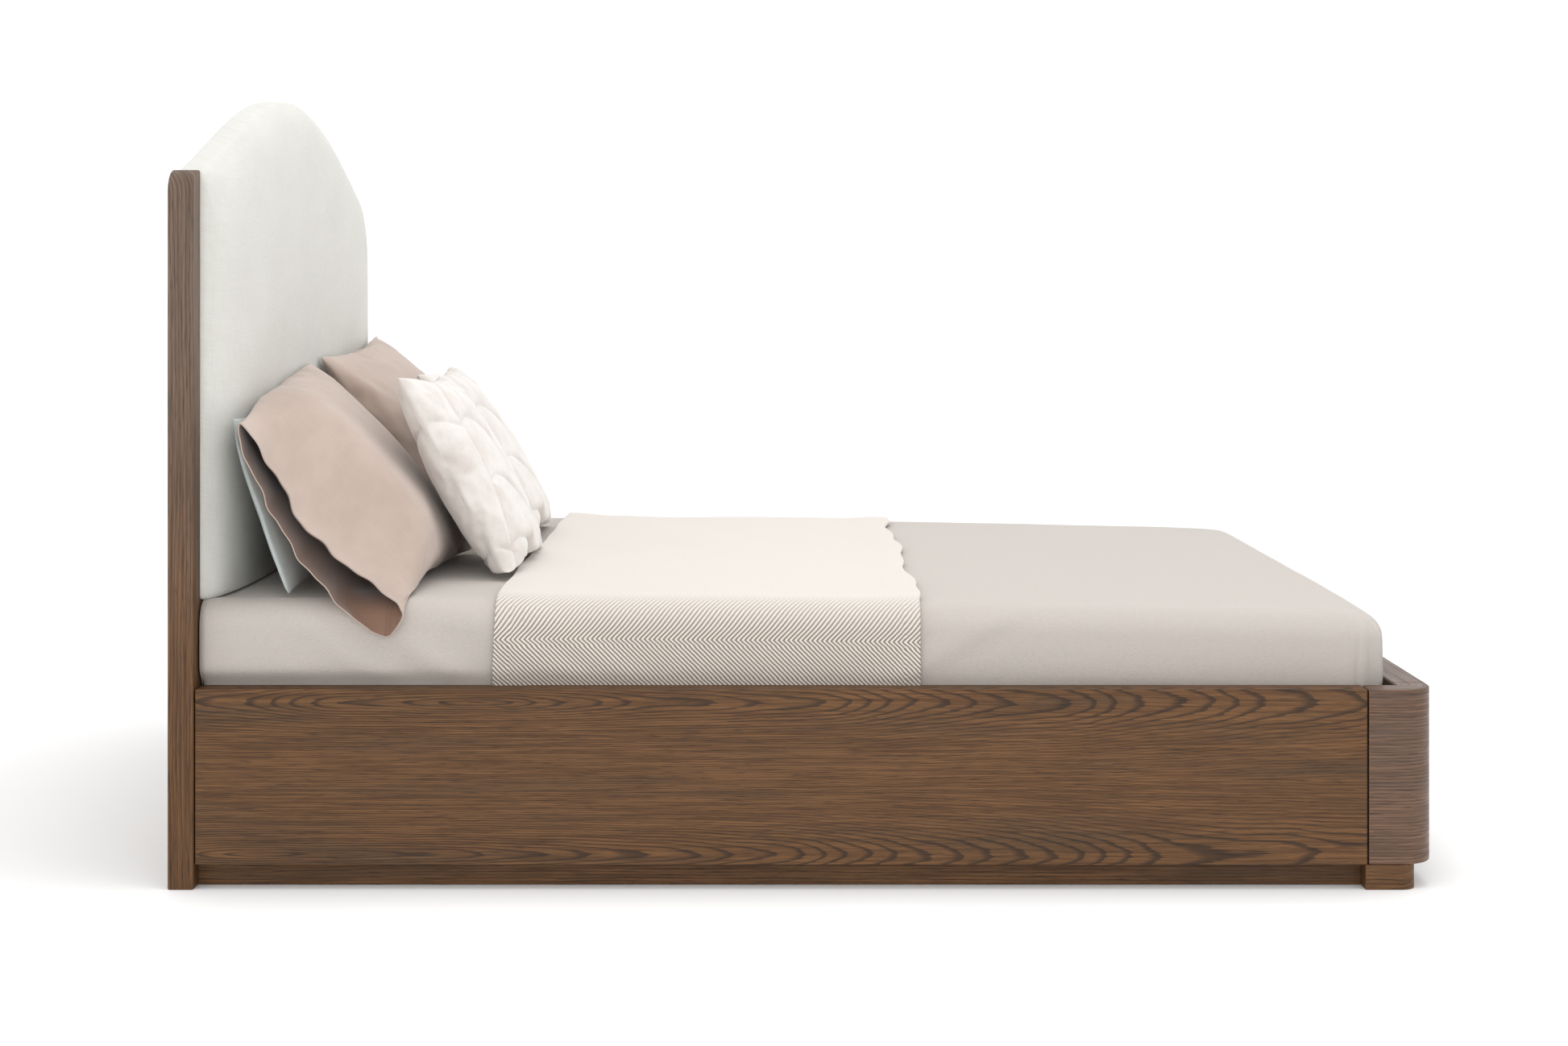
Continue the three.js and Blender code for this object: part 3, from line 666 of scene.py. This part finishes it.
def bed_top(x, y):
    """The height of the made bed's top: full in the middle, and lower at the foot."""
    along = (x - BED_HEAD) / (BED_FOOT - BED_HEAD)
    across = np.abs(y) / BED_HALF
    slope = 0.008 - 0.026 * np.clip(along, 0, 1) ** 2.4
    crown = -0.004 * across**3
    return BLANKET_HIGH.z + slope + crown


def bed_surface(u, v):
    """Where a point of the cloth lies: u and v are its distances along the flat cloth from the bed's centre.
    The cloth turns down at the foot and both sides, and stays flat at the head."""
    over = np.maximum(u - FLAT_X, np.abs(v) - FLAT_Y)
    turn = np.clip(over / EDGE_RADIUS, 0, math.pi / 2)
    out = np.where(over > 0, EDGE_RADIUS * np.sin(turn), over)
    fall = np.where(over > 0, EDGE_RADIUS * (1 - np.cos(turn)), 0)
    fall = fall + np.maximum(over - EDGE_RADIUS * math.pi / 2, 0)
    half_x = FLAT_X + out
    half_y = FLAT_Y + out
    radius = FOOT_CORNER * smoothstep(-0.35, 0.0, over) + 1e-6
    near_x = (u - (half_x - radius)) / (FLAT_X + over - half_x + radius)
    near_y = (np.abs(v) - (half_y - radius)) / (FLAT_Y + over - half_y + radius)
    inside = (near_x > 0) & (near_y > 0)
    turned = np.where(near_x > near_y, near_y, 2 - near_x) * math.pi / 4
    x_round = half_x - radius + radius * np.cos(turned)
    y_round = half_y - radius + radius * np.sin(turned)
    x = np.where(inside, x_round, np.minimum(u, half_x))
    y = np.sign(v) * np.where(inside, y_round, np.minimum(np.abs(v), half_y))
    place_x = BED_CENTRE + x
    z = bed_top(place_x, y) - fall
    return np.stack([place_x, y, z], -1), over


def bed_normal(u, v):
    step = 0.002
    along = bed_surface(u + step, v)[0] - bed_surface(u - step, v)[0]
    across = bed_surface(u, v + step)[0] - bed_surface(u, v - step)[0]
    normal = np.cross(along, across)
    return normal / np.maximum(np.linalg.norm(normal, axis=-1, keepdims=True), 1e-9)


def field(u, v, scale_u, scale_v, seed, octaves=2):
    flat_u = np.ravel(u)
    flat_v = np.ravel(v)
    values = [fractal(a * scale_u, b * scale_v, seed, octaves) for a, b in zip(flat_u, flat_v)]
    return np.array(values).reshape(np.shape(u))


def fold(distance, width):
    """A soft ridge, 1 on its line."""
    return np.exp(-(distance / width) ** 2)


def bedding_relief(u, v, over):
    """How far the cloth stands off the plain shape: loose waves on top, and bulges and folds down the
    sides."""
    top = 0.0022 * field(u, v, 2.6, 2.6, 1.0)
    wall = smoothstep(0.0, 0.05, over)
    below = smoothstep(EDGE_RADIUS * 1.2 + 0.085, EDGE_RADIUS * 1.2 + 0.125, over)
    head = 1 - smoothstep(-FLAT_X - 0.1, -FLAT_X + 0.75, u)
    bulge = 0.004 + 0.021 * head + 0.003 * field(u, v, 4.0, 2.0, 6.0)
    relief = top * (1 - wall) + bulge * wall * (1 - below)
    # diagonal folds on the sides near the head
    down = np.clip(over, 0, 0.2)
    for start, slant, width, height in (
        (-0.90, 1.3, 0.024, 0.0085), (-0.80, 1.5, 0.020, 0.0070), (-0.64, 1.8, 0.026, 0.0060),
        (-0.52, 1.6, 0.022, 0.0050), (0.42, -1.5, 0.030, 0.0060), (0.47, -1.7, 0.016, -0.0040),
    ):
        line = (u - start - slant * down) / math.hypot(1, slant)
        relief = relief + height * fold(line, width) * wall * (1 - below) * smoothstep(0.0, 0.06, over)
    # the gathered cloth at the foot corners
    corner = smoothstep(-0.02, 0.02, u - FLAT_X) * smoothstep(-0.02, 0.02, np.abs(v) - FLAT_Y)
    spin = np.arctan2(np.abs(v) - FLAT_Y, u - FLAT_X)
    relief = relief + 0.0035 * corner * np.cos(spin * 9) * wall
    return relief


def bed_sheet(name, u_line, v_line, lift):
    """A sheet that follows the made bed, standing off it by lift: a distance, or a function of u and v that
    also moves them."""
    u, v = np.meshgrid(u_line, v_line, indexing="ij")
    if callable(lift):
        u, v, raised = lift(u, v)
    else:
        raised = lift
    place, over = bed_surface(u, v)
    place = place + bed_normal(u, v) * (bedding_relief(u, v, over) + raised)[..., None]
    rows, columns = u.shape
    faces = [
        (i * columns + j, (i + 1) * columns + j, (i + 1) * columns + j + 1, i * columns + j + 1)
        for i in range(rows - 1) for j in range(columns - 1)
    ]
    cut = np.stack([v.ravel(), u.ravel()], -1)
    return mesh_object(name, place.reshape(-1, 3), faces, cut=cut)


def cover(name, u_line, v_line, lift, thickness, material):
    sheet = bed_sheet(name, u_line, v_line, lift)
    paint(sheet, material)
    subdivide(sheet)
    thicken(sheet, thickness, 0.0)
    return sheet


def lines(low, high, count, *dense):
    """Grid lines from low to high, with extra ones between each dense pair."""
    values = set(np.round(np.linspace(low, high, count), 5))
    for start, stop, number in dense:
        values |= set(np.round(np.linspace(start, stop, number), 5))
    values = sorted(values)
    kept = [values[0]]
    for value in values[1:]:
        if value - kept[-1] > 0.0035:
            kept.append(value)
    return np.array(kept)


def make_bedding():
    # the mattress, with a boxed border
    body_head = -FLAT_X - EDGE_RADIUS + 0.003
    body_u = lines(body_head, FLAT_X + MATTRESS_DROP, 40, (FLAT_X - 0.02, FLAT_X + 0.09, 12))
    body_v = lines(-FLAT_Y - MATTRESS_DROP, FLAT_Y + MATTRESS_DROP, 34, (FLAT_Y - 0.02, FLAT_Y + 0.09, 12))
    body = bed_sheet("mattress_body", body_u, body_v, -0.010)
    close_below(body, MATTRESS_LOW.z + 0.001)
    ticking = Material("mattress_ticking", roughness=0.9, sheen=0.2, specular=0.2)
    x, y, z = ticking.place()
    stripe = thread(ticking, ticking.math("ADD", x, y), 0.012)
    quilt = thread(ticking, z, 0.024)
    ticking.color(ticking.mix(ticking.math("MULTIPLY", stripe, 0.3), (0.80, 0.79, 0.76), (0.60, 0.62, 0.64)))
    ticking.bump(ticking.math("MULTIPLY_ADD", quilt, 1.0, stripe), 0.001, 0.5)
    paint(body, ticking.material)
    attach(body, FRAME_BODY)
    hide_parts("mattress")

    edge_u = FLAT_X
    edge_v = FLAT_Y
    u_line = lines(-edge_u - EDGE_RADIUS, edge_u + DROP, 96, (edge_u - 0.02, edge_u + 0.16, 22))
    near_edge = (-edge_v - 0.15, -edge_v + 0.02)
    far_edge = (edge_v - 0.02, edge_v + 0.15)
    v_line = lines(-edge_v - DROP, edge_v + DROP, 72, (*near_edge, 20), (*far_edge, 20))
    weave = twill("blanket_weave", (0.525, 0.482, 0.443), (0.440, 0.400, 0.362))
    blanket = cover("blanket_cloth", u_line, v_line, 0.0, 0.003, weave)
    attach(blanket, FRAME_BODY)
    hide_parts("blanket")

    start = THROW_LOW.x - BED_CENTRE
    stop = THROW_HIGH.x - BED_CENTRE
    reach = FLAT_Y + EDGE_RADIUS * math.pi / 2 + WALL - 0.02
    u_line = lines(start, stop, 56, (start, start + 0.02, 5), (stop - 0.02, stop, 5))
    v_line = lines(-reach, reach, 110, (*near_edge, 24), (*far_edge, 24))

    def lift(u, v):
        """The throw's ends wander a little, and it stands fuller towards its right edge."""
        along = (u - start) / (stop - start)
        wander = 0.006 * np.sin(v * 9.0 + 1.0) + 0.004 * np.sin(v * 23.0)
        wander = wander + 0.003 * field(v, u * 0, 6.0, 1.0, 9.0)
        top = smoothstep(-FLAT_Y - 0.02, -FLAT_Y + 0.05, v)
        u = u + wander * smoothstep(0.6, 1.0, along) * top + 0.3 * wander * (1 - smoothstep(0.0, 0.4, along))
        puff = 0.0055 + 0.0035 * field(u, v, 5.0, 3.0, 12.0) * smoothstep(-0.02, 0.1, v + FLAT_Y)
        edge = np.minimum(u - start, stop - u)
        roll = 0.0035 * smoothstep(0.10, 0.02, edge)
        return u, v, puff + roll

    weave = herringbone("throw_herringbone", (0.670, 0.622, 0.570), (0.170, 0.130, 0.100))
    throw = cover("throw_cloth", u_line, v_line, lift, 0.006, weave)
    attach(throw, FRAME_BODY)
    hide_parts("throw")


def close_below(piece, z):
    """Takes an open sheet's lower edge down to z and closes it there."""
    shape = bmesh.new()
    shape.from_mesh(piece.data)
    edges = [e for e in shape.edges if e.is_boundary]
    made = bmesh.ops.extrude_edge_only(shape, edges=edges)["geom"]
    for corner in (g for g in made if isinstance(g, bmesh.types.BMVert)):
        corner.co.z = z
    rim = [g for g in made if isinstance(g, bmesh.types.BMEdge) and g.is_boundary]
    bmesh.ops.contextual_create(shape, geom=rim)
    bmesh.ops.recalc_face_normals(shape, faces=shape.faces)
    shape.to_mesh(piece.data)
    shape.free()


# ---------------------------------------------------------------- pillows: flat pockets, blown up
def pocket(name, width, height, columns, rows, open_end=0.0, seed=0.0):
    """Two flat sheets sewn together at their edges. open_end leaves the -x end unsewn, held apart by that
    much."""
    points = []
    cut = []
    index = {}

    def point(i, j, side):
        sewn = i in (0, columns) or j in (0, rows)
        if open_end and i == 0 and 0 < j < rows:
            sewn = False
        key = (i, j, 0 if sewn else side)
        if key not in index:
            x = (i / columns - 0.5) * width
            y = (j / rows - 0.5) * height
            apart = 0.004
            if open_end:
                mouth = 1 - smoothstep(0.0, 0.16, i / columns * width)
                apart += open_end * mouth * math.sqrt(max(0.0, 1 - (2 * y / height) ** 2))
            z = 0 if sewn else side * apart
            index[key] = len(points)
            points.append((x, y, z + 0.002 * noise.noise(Vector((x * 9, y * 9, side * 3.1 + seed)))))
            cut.append((x, y if side > 0 else y + height))
        return index[key]

    faces = []
    for i in range(columns):
        for j in range(rows):
            for side in (1, -1):
                quad = [point(i + a, j + b, side) for a, b in ((0, 0), (1, 0), (1, 1), (0, 1))]
                faces.append(quad if side > 0 else quad[::-1])
    return mesh_object(name, points, faces, cut=np.array(cut))


def puffed(points, width, height, thickness):
    x = np.clip(2 * points[:, 0] / width, -1, 1)
    y = np.clip(2 * points[:, 1] / height, -1, 1)
    full = (1 - np.abs(x) ** 2.5) ** 0.5 * (1 - np.abs(y) ** 2.5) ** 0.5
    made = points.copy()
    made[:, 2] += np.sign(points[:, 2]) * thickness / 2 * full
    return made


def blow_up(piece, pressure, frames=30, bend=0.2, pushed=None):
    """Simulates the pocket under pressure, then keeps the last shape."""
    modifier = piece.modifiers.new("cloth", "CLOTH")
    cloth = modifier.settings
    cloth.quality = 6
    cloth.mass = 0.05
    cloth.tension_stiffness = cloth.compression_stiffness = 20
    cloth.shear_stiffness = 15
    cloth.bending_stiffness = bend
    cloth.tension_damping = cloth.compression_damping = cloth.shear_damping = 5
    cloth.bending_damping = 0.5
    cloth.air_damping = 4
    cloth.use_pressure = True
    cloth.uniform_pressure_force = pressure
    cloth.effector_weights.gravity = 0
    if pushed is not None:
        group = piece.vertex_groups.new(name="pushed")
        for i, weight in enumerate(pushed):
            group.add([i], float(weight), "REPLACE")
        cloth.vertex_group_pressure = "pushed"
    modifier.point_cache.frame_start = 1
    modifier.point_cache.frame_end = frames
    for frame_number in range(1, frames + 1):
        scene.frame_set(frame_number)
    depsgraph = bpy.context.evaluated_depsgraph_get()
    settled = points_of(piece.evaluated_get(depsgraph))
    piece.modifiers.clear()
    scene.frame_set(1)
    move_points(piece, settled)
    piece.vertex_groups.clear()


def lean(points, centre_y, bottom, top, forward=0.0, turn=0.0):
    """Stands a pillow's own x, y and z along the bed's width, up the chord from bottom to top, and out to the
    front."""
    up = np.array([top[0] - bottom[0], 0, top[1] - bottom[1]])
    up = up / np.linalg.norm(up)
    front = np.array([up[2], 0, -up[0]])
    low = points[:, 1].min()
    middle = np.array([bottom[0], centre_y, bottom[1]]) - low * up + forward * front
    spun = math.radians(turn)
    x = points[:, 0] * math.cos(spun) - points[:, 1] * math.sin(spun)
    y = points[:, 0] * math.sin(spun) + points[:, 1] * math.cos(spun)
    return middle + x[:, None] * np.array([0, 1, 0]) + y[:, None] * up + points[:, 2:3] * front


def settle(values, limit, softness):
    """Squeezes values that would pass below the limit into a thin layer above it, keeping their order."""
    past = np.minimum(values - limit - softness, 0)
    return np.where(past < 0, limit + softness * np.exp(past / softness), values)


def bed_floor(x, y):
    """The height of the made bed under a pillow, falling away past its rounded sides."""
    bulge = EDGE_RADIUS + 0.031
    over = np.clip((np.abs(y) - FLAT_Y) / bulge, 0, 1)
    fall = EDGE_RADIUS * (1 - np.sqrt(1 - over**2)) + 3 * np.maximum(np.abs(y) - FLAT_Y - bulge, 0)
    return bed_top(x, y) + 0.009 + 0.010 * smoothstep(THROW_LOW.x - 0.04, THROW_LOW.x, x) - fall


def rest(piece, softness=0.012):
    """Flattens a pillow where it leans on the headboard and stands on the bed."""
    points = points_of(piece)
    points[:, 0] = settle(points[:, 0], PAD_HIGH.x + 0.006, softness)
    points[:, 2] = settle(points[:, 2], bed_floor(points[:, 0], points[:, 1]), softness)
    move_points(piece, points)


DENT_REACH = 0.15


def keep_clear(piece, other, toward, gap=0.003):
    """Dents the piece where it presses into the other: each point inside the other moves out along toward."""
    corners = [v.co for v in other.data.vertices]
    tree = BVHTree.FromPolygons(corners, [tuple(face.vertices) for face in other.data.polygons])
    direction = Vector(toward).normalized()
    points = points_of(piece)
    for i, p in enumerate(points):
        hit, normal, _, _ = tree.ray_cast(Vector(p) - direction * gap, direction, DENT_REACH)
        if hit is not None and normal.dot(direction) > 0:
            points[i] = np.array(hit + direction * gap)
    move_points(piece, points)


def finish_pillow(piece, body, node, material):
    paint(piece, material)
    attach(piece, body)
    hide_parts(node)


def smooth_normals(piece):
    piece.data.polygons.foreach_set("use_smooth", [True] * len(piece.data.polygons))


def make_blue_pillow():
    size = (0.660, 0.330)
    piece = pocket("blue_pillow", *size, 44, 26, seed=4.0)
    blow_up(piece, 1.1)
    points = points_of(piece)
    points[:, 2] *= 0.8
    move_points(piece, lean(points, -0.432, (-0.880, 0.488), (-0.985, 0.786), 0.0))
    subdivide(piece)
    finish_pillow(piece, "pillow_blue", "pillow_blue",
                  cotton("blue_cotton", (0.52, 0.565, 0.555), (0.43, 0.475, 0.465)))
    return piece


def make_sham_far():
    size = (0.740, 0.535)
    piece = pocket("sham_far_case", *size, 60, 44, seed=8.0)
    blow_up(piece, 1.7)
    points = points_of(piece)
    points[:, 2] *= np.where(points[:, 2] < 0, 0.7, 1.0)
    move_points(piece, lean(points, 0.392, (-0.662, 0.482), (-1.000, 0.874), 0.022, 3.0))
    subdivide(piece)
    finish_pillow(piece, "sham_far", "sham_far", SHAM)
    return piece


# how far the open end's front and back hems stand off the line between its corners, from the lower corner up
FRONT_HEM = (
    (0, 0.03, 0.09, 0.26, 0.52, 0.75, 0.90, 1),
    (0, 0.038, 0.042, 0.012, -0.020, -0.007, -0.001, 0),
)
BACK_HEM = (
    (0, 0.06, 0.27, 0.51, 0.72, 0.82, 0.97, 1),
    (0, -0.023, -0.043, -0.049, -0.037, -0.032, -0.013, 0),
)


def mouth_profile(height, side, from_end):
    """The sham's open end: x and z down the mouth, for a height of 0 at its lower corner and 1 at its upper
    one."""
    low = np.array([-0.700, 0.425])
    high = np.array([-0.957, 0.793])
    chord = high - low
    front = np.array([chord[1], -chord[0]]) / np.linalg.norm(chord)
    lens = np.sqrt(np.clip(1 - (2 * height - 1) ** 2, 0, 1))
    hem = np.where(side > 0, np.interp(height, *FRONT_HEM), np.interp(height, *BACK_HEM))
    ripple = 0.0034 * np.sin(height * 27.0 + 0.6 + side) + 0.0016 * np.sin(height * 57.0 + 2 * side)
    lip = np.where(side > 0, 0.009, -0.002) * np.clip(1 - from_end / 0.022, 0, 1) * lens
    out = hem + lens * ripple * smoothstep(0.10, 0.0, from_end) + lip
    return low + chord * height[:, None] + front * out[:, None]


def make_sham_near():
    size = (0.740, 0.520)
    flange = 0.095
    piece = pocket("sham_near_case", *size, 76, 54, open_end=0.024, seed=2.0)
    start = points_of(piece)
    from_end = start[:, 0] + size[0] / 2
    pushed = smoothstep(flange * 0.3, flange * 1.3, from_end)
    blow_up(piece, 2.1, pushed=pushed)
    points = points_of(piece)
    points[:, 2] *= np.where(points[:, 2] < 0, 0.7, 1.0)
    placed = lean(points, -0.428, (-0.655, 0.480), (-0.985, 0.862), 0.002)
    placed[:, 2] -= 0.020 * (start[:, 1] / size[1] + 0.5) * (1 - smoothstep(0.18, 0.60, from_end))
    side = np.where(start[:, 2] < 0, -1.0, 1.0)
    mouth = mouth_profile(start[:, 1] / size[1] + 0.5, side, from_end)
    slack = 1 - smoothstep(0.0, 0.235, from_end)
    placed[:, 0] += slack * (mouth[:, 0] - placed[:, 0])
    placed[:, 2] += slack * (mouth[:, 1] - placed[:, 2])
    end_y = -0.802 + from_end * 0.98
    placed[:, 1] += slack * (end_y - placed[:, 1])
    move_points(piece, placed)
    smooth_normals(piece)
    subdivide(piece)
    thicken(piece, 0.0022, -1.0)
    # The inner faces take the second slot, the painted shade of the case's inside.
    piece.modifiers["thickness"].material_offset = 1
    finish_pillow(piece, "sham_near", "sham_near", SHAM)
    piece.data.materials.append(SHAM_INSIDE_PAINTED_SHADE)

    insert_size = (size[0] - flange - 0.14, size[1] - 0.17)
    insert = pocket("sham_near_insert", *insert_size, 30, 24, seed=2.5)
    points = puffed(points_of(insert), *insert_size, 0.07)
    points[:, 0] += flange / 2 + 0.05
    move_points(insert, lean(points, -0.428, (-0.700, 0.525), (-0.925, 0.785), 0.008))
    smooth_normals(insert)
    paint(insert, SHAM)
    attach(insert, "sham_near")
    return piece, insert


def quilt_depth(x, y, width, height):
    """The distance from each point of the cushion's face to its nearest stitched vein."""
    stem = -0.5 * width + width * (0.10 + 0.20 * np.clip((y + 0.5 * height) / height, 0, 1) ** 0.8)
    nearest = np.abs(x - stem)
    beyond = x - stem
    for k in range(-1, 7):
        start = -0.5 * height + 0.125 * k + 0.055
        right = start + 0.10 * np.sqrt(np.clip(beyond, 0, 1)) - 2.6 * beyond**2
        left = start + 0.25 * np.abs(beyond) + k % 2
        line = np.where(beyond > 0, right, left)
        slope = np.where(beyond > 0, 5.2 * np.abs(beyond), 0.25)
        nearest = np.minimum(nearest, np.abs(y - line) / np.sqrt(1 + slope**2))
    return nearest


def make_cushion(name, body, node, centre_y, bottom, top, shape, turn, seed):
    width, height = CUSHION_SIZE
    piece = bpy.data.objects.new(name, shape.copy())
    scene.collection.objects.link(piece)
    subdivide(piece, 2)
    apply_modifiers(piece)
    cut = np.zeros(len(piece.data.vertices) * 3, np.float32)
    piece.data.attributes["cut"].data.foreach_get("vector", cut)
    cut = cut.reshape(-1, 3)
    points = points_of(piece)
    normals = np.zeros(len(points) * 3)
    piece.data.vertices.foreach_get("normal", normals)
    normals = normals.reshape(-1, 3)
    x = cut[:, 0]
    y = np.where(cut[:, 1] > height / 2, cut[:, 1] - height, cut[:, 1])
    inner = smoothstep(0.0, 0.03, np.minimum(width / 2 - np.abs(x), height / 2 - np.abs(y)))
    apart = quilt_depth(x, y, width, height)
    puff = 0.0085 * (1 - np.exp(-apart / 0.008)) - 0.0065
    crumple = 0.0006 * field(x, y, 20.0, 16.0, seed, 3) * smoothstep(0.0, 0.03, apart)
    points[:, 2] *= np.where(points[:, 2] < 0, 0.95, 1.0)
    points = points + normals * ((puff + crumple) * inner)[:, None]
    placed = lean(points, centre_y, bottom, top, 0.0, turn)
    move_points(piece, placed)
    smooth_normals(piece)
    finish_pillow(piece, body, node, CUSHION)
    return piece


CUSHION_SIZE = (0.515, 0.440)
CUSHION_Y = 0.266
TOWARDS_FOOT = (0.88, 0, 0.47)
TOWARDS_HEADBOARD = (-0.75, 0, -0.35)
# Painted shade: a dark brown for the sham's inner faces, standing in for the shade inside its open end.
SHAM_INSIDE_PAINTED_SHADE = cotton("sham_inside_painted_shade", (0.215, 0.125, 0.085), (0.165, 0.092, 0.062))
SHAM = cotton("sham_cotton", (0.465, 0.368, 0.315), (0.390, 0.300, 0.252))
CUSHION = plush("cushion_plush", (0.650, 0.620, 0.588), (0.560, 0.515, 0.475))
make_camera()
make_studio()
make_headboard()
make_dust_cover()
make_bedding()
blue_pillow = make_blue_pillow()
sham_far = make_sham_far()
sham_near, sham_near_insert = make_sham_near()
cushion_shape = pocket("cushion_shape", *CUSHION_SIZE, 50, 44, seed=6.0)
blow_up(cushion_shape, 2.6)
cushion_mesh = cushion_shape.data
bpy.data.objects.remove(cushion_shape)
cushion_far = make_cushion(
    "cushion_far_cover", "cushion_far", "cushion_far", CUSHION_Y, (-0.553, 0.480), (-0.785, 0.856),
    cushion_mesh, 0.0, 3.0)
cushion_near = make_cushion(
    "cushion_near_cover", "cushion_near", "cushion_near", -CUSHION_Y, (-0.524, 0.476), (-0.728, 0.846),
    cushion_mesh, -2.0, 5.0)
for pillow in (blue_pillow, sham_far, sham_near, sham_near_insert, cushion_far, cushion_near):
    rest(pillow)
keep_clear(blue_pillow, sham_near, TOWARDS_HEADBOARD, 0.004)
keep_clear(cushion_far, sham_far, TOWARDS_FOOT)
keep_clear(cushion_near, sham_near, TOWARDS_FOOT)
keep_clear(cushion_near, sham_far, TOWARDS_FOOT)

# ---------------------------------------------------------------- carried-over CAD nodes
RAIL_HEARTS = ((RAIL_HIGH.z - 0.022, 0.085, 0.062), (RAIL_LOW.z + 0.018, 0.090, 0.056))
rail_oak = oak("oak_rail", band_coordinates, 3.7, spacing=0.0038, hearts=RAIL_HEARTS)
corner_oak = oak("oak_corner", band_coordinates, 11.3, spacing=0.0056, tones=CORNER_OAK, roughness=0.38)
# The post goes from plain oak at its foot to the painted-reflection tones higher up.
post_oak = oak("oak_post", post_coordinates, 8.2, spacing=0.0062, tones=POST_OAK_PAINTED_REFLECTION, low_tones=OAK)
plinth_oak = oak("oak_plinth", length_coordinates, 5.4, spacing=0.0060)
block_oak = oak("oak_block", band_coordinates, 6.9, spacing=0.0060)
panel_oak = oak("oak_panel", width_coordinates, 2.2, spacing=0.0060)
beam_timber = timber("beam_timber", length_coordinates, 1.1, (0.62, 0.45, 0.26), (0.48, 0.32, 0.16))
slat_timber = timber("slat_timber", width_coordinates, 4.6, (0.66, 0.50, 0.31), (0.53, 0.37, 0.20))
leg_timber = timber("leg_timber", post_coordinates, 9.3, (0.62, 0.45, 0.26), (0.48, 0.32, 0.16))
black_steel = powder_coat("black_steel", (0.035, 0.035, 0.038))
black_plastic = powder_coat("black_plastic", (0.02, 0.02, 0.02), 0.6)
zinc_steel = zinc("zinc_steel")
panel_plywood = plywood("panel_plywood")

NODE_FINISHES = (
    ("headboard_post", post_oak),
    ("side_rail", rail_oak),
    ("footboard", corner_oak),
    ("side_plinth", plinth_oak),
    ("foot_plinth", panel_oak),
    ("foot_block", block_oak),
    ("headboard_lower_panel", panel_oak),
    ("headboard_panel", panel_plywood),
    ("headboard_cleat", leg_timber),
    ("headboard_stretcher", slat_timber),
    ("slat_ledger", beam_timber),
    ("slat_", slat_timber),
    ("centre_beam", beam_timber),
    ("centre_leg_leveller", black_plastic),
    ("centre_leg", leg_timber),
    ("corner_bracket", black_steel),
    ("corner_bolt", zinc_steel),
    ("beam_hanger", black_steel),
)
for node_name, node_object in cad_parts.items():
    for prefix, finish in NODE_FINISHES:
        if node_name.startswith(prefix):
            paint(node_object, finish)
            break
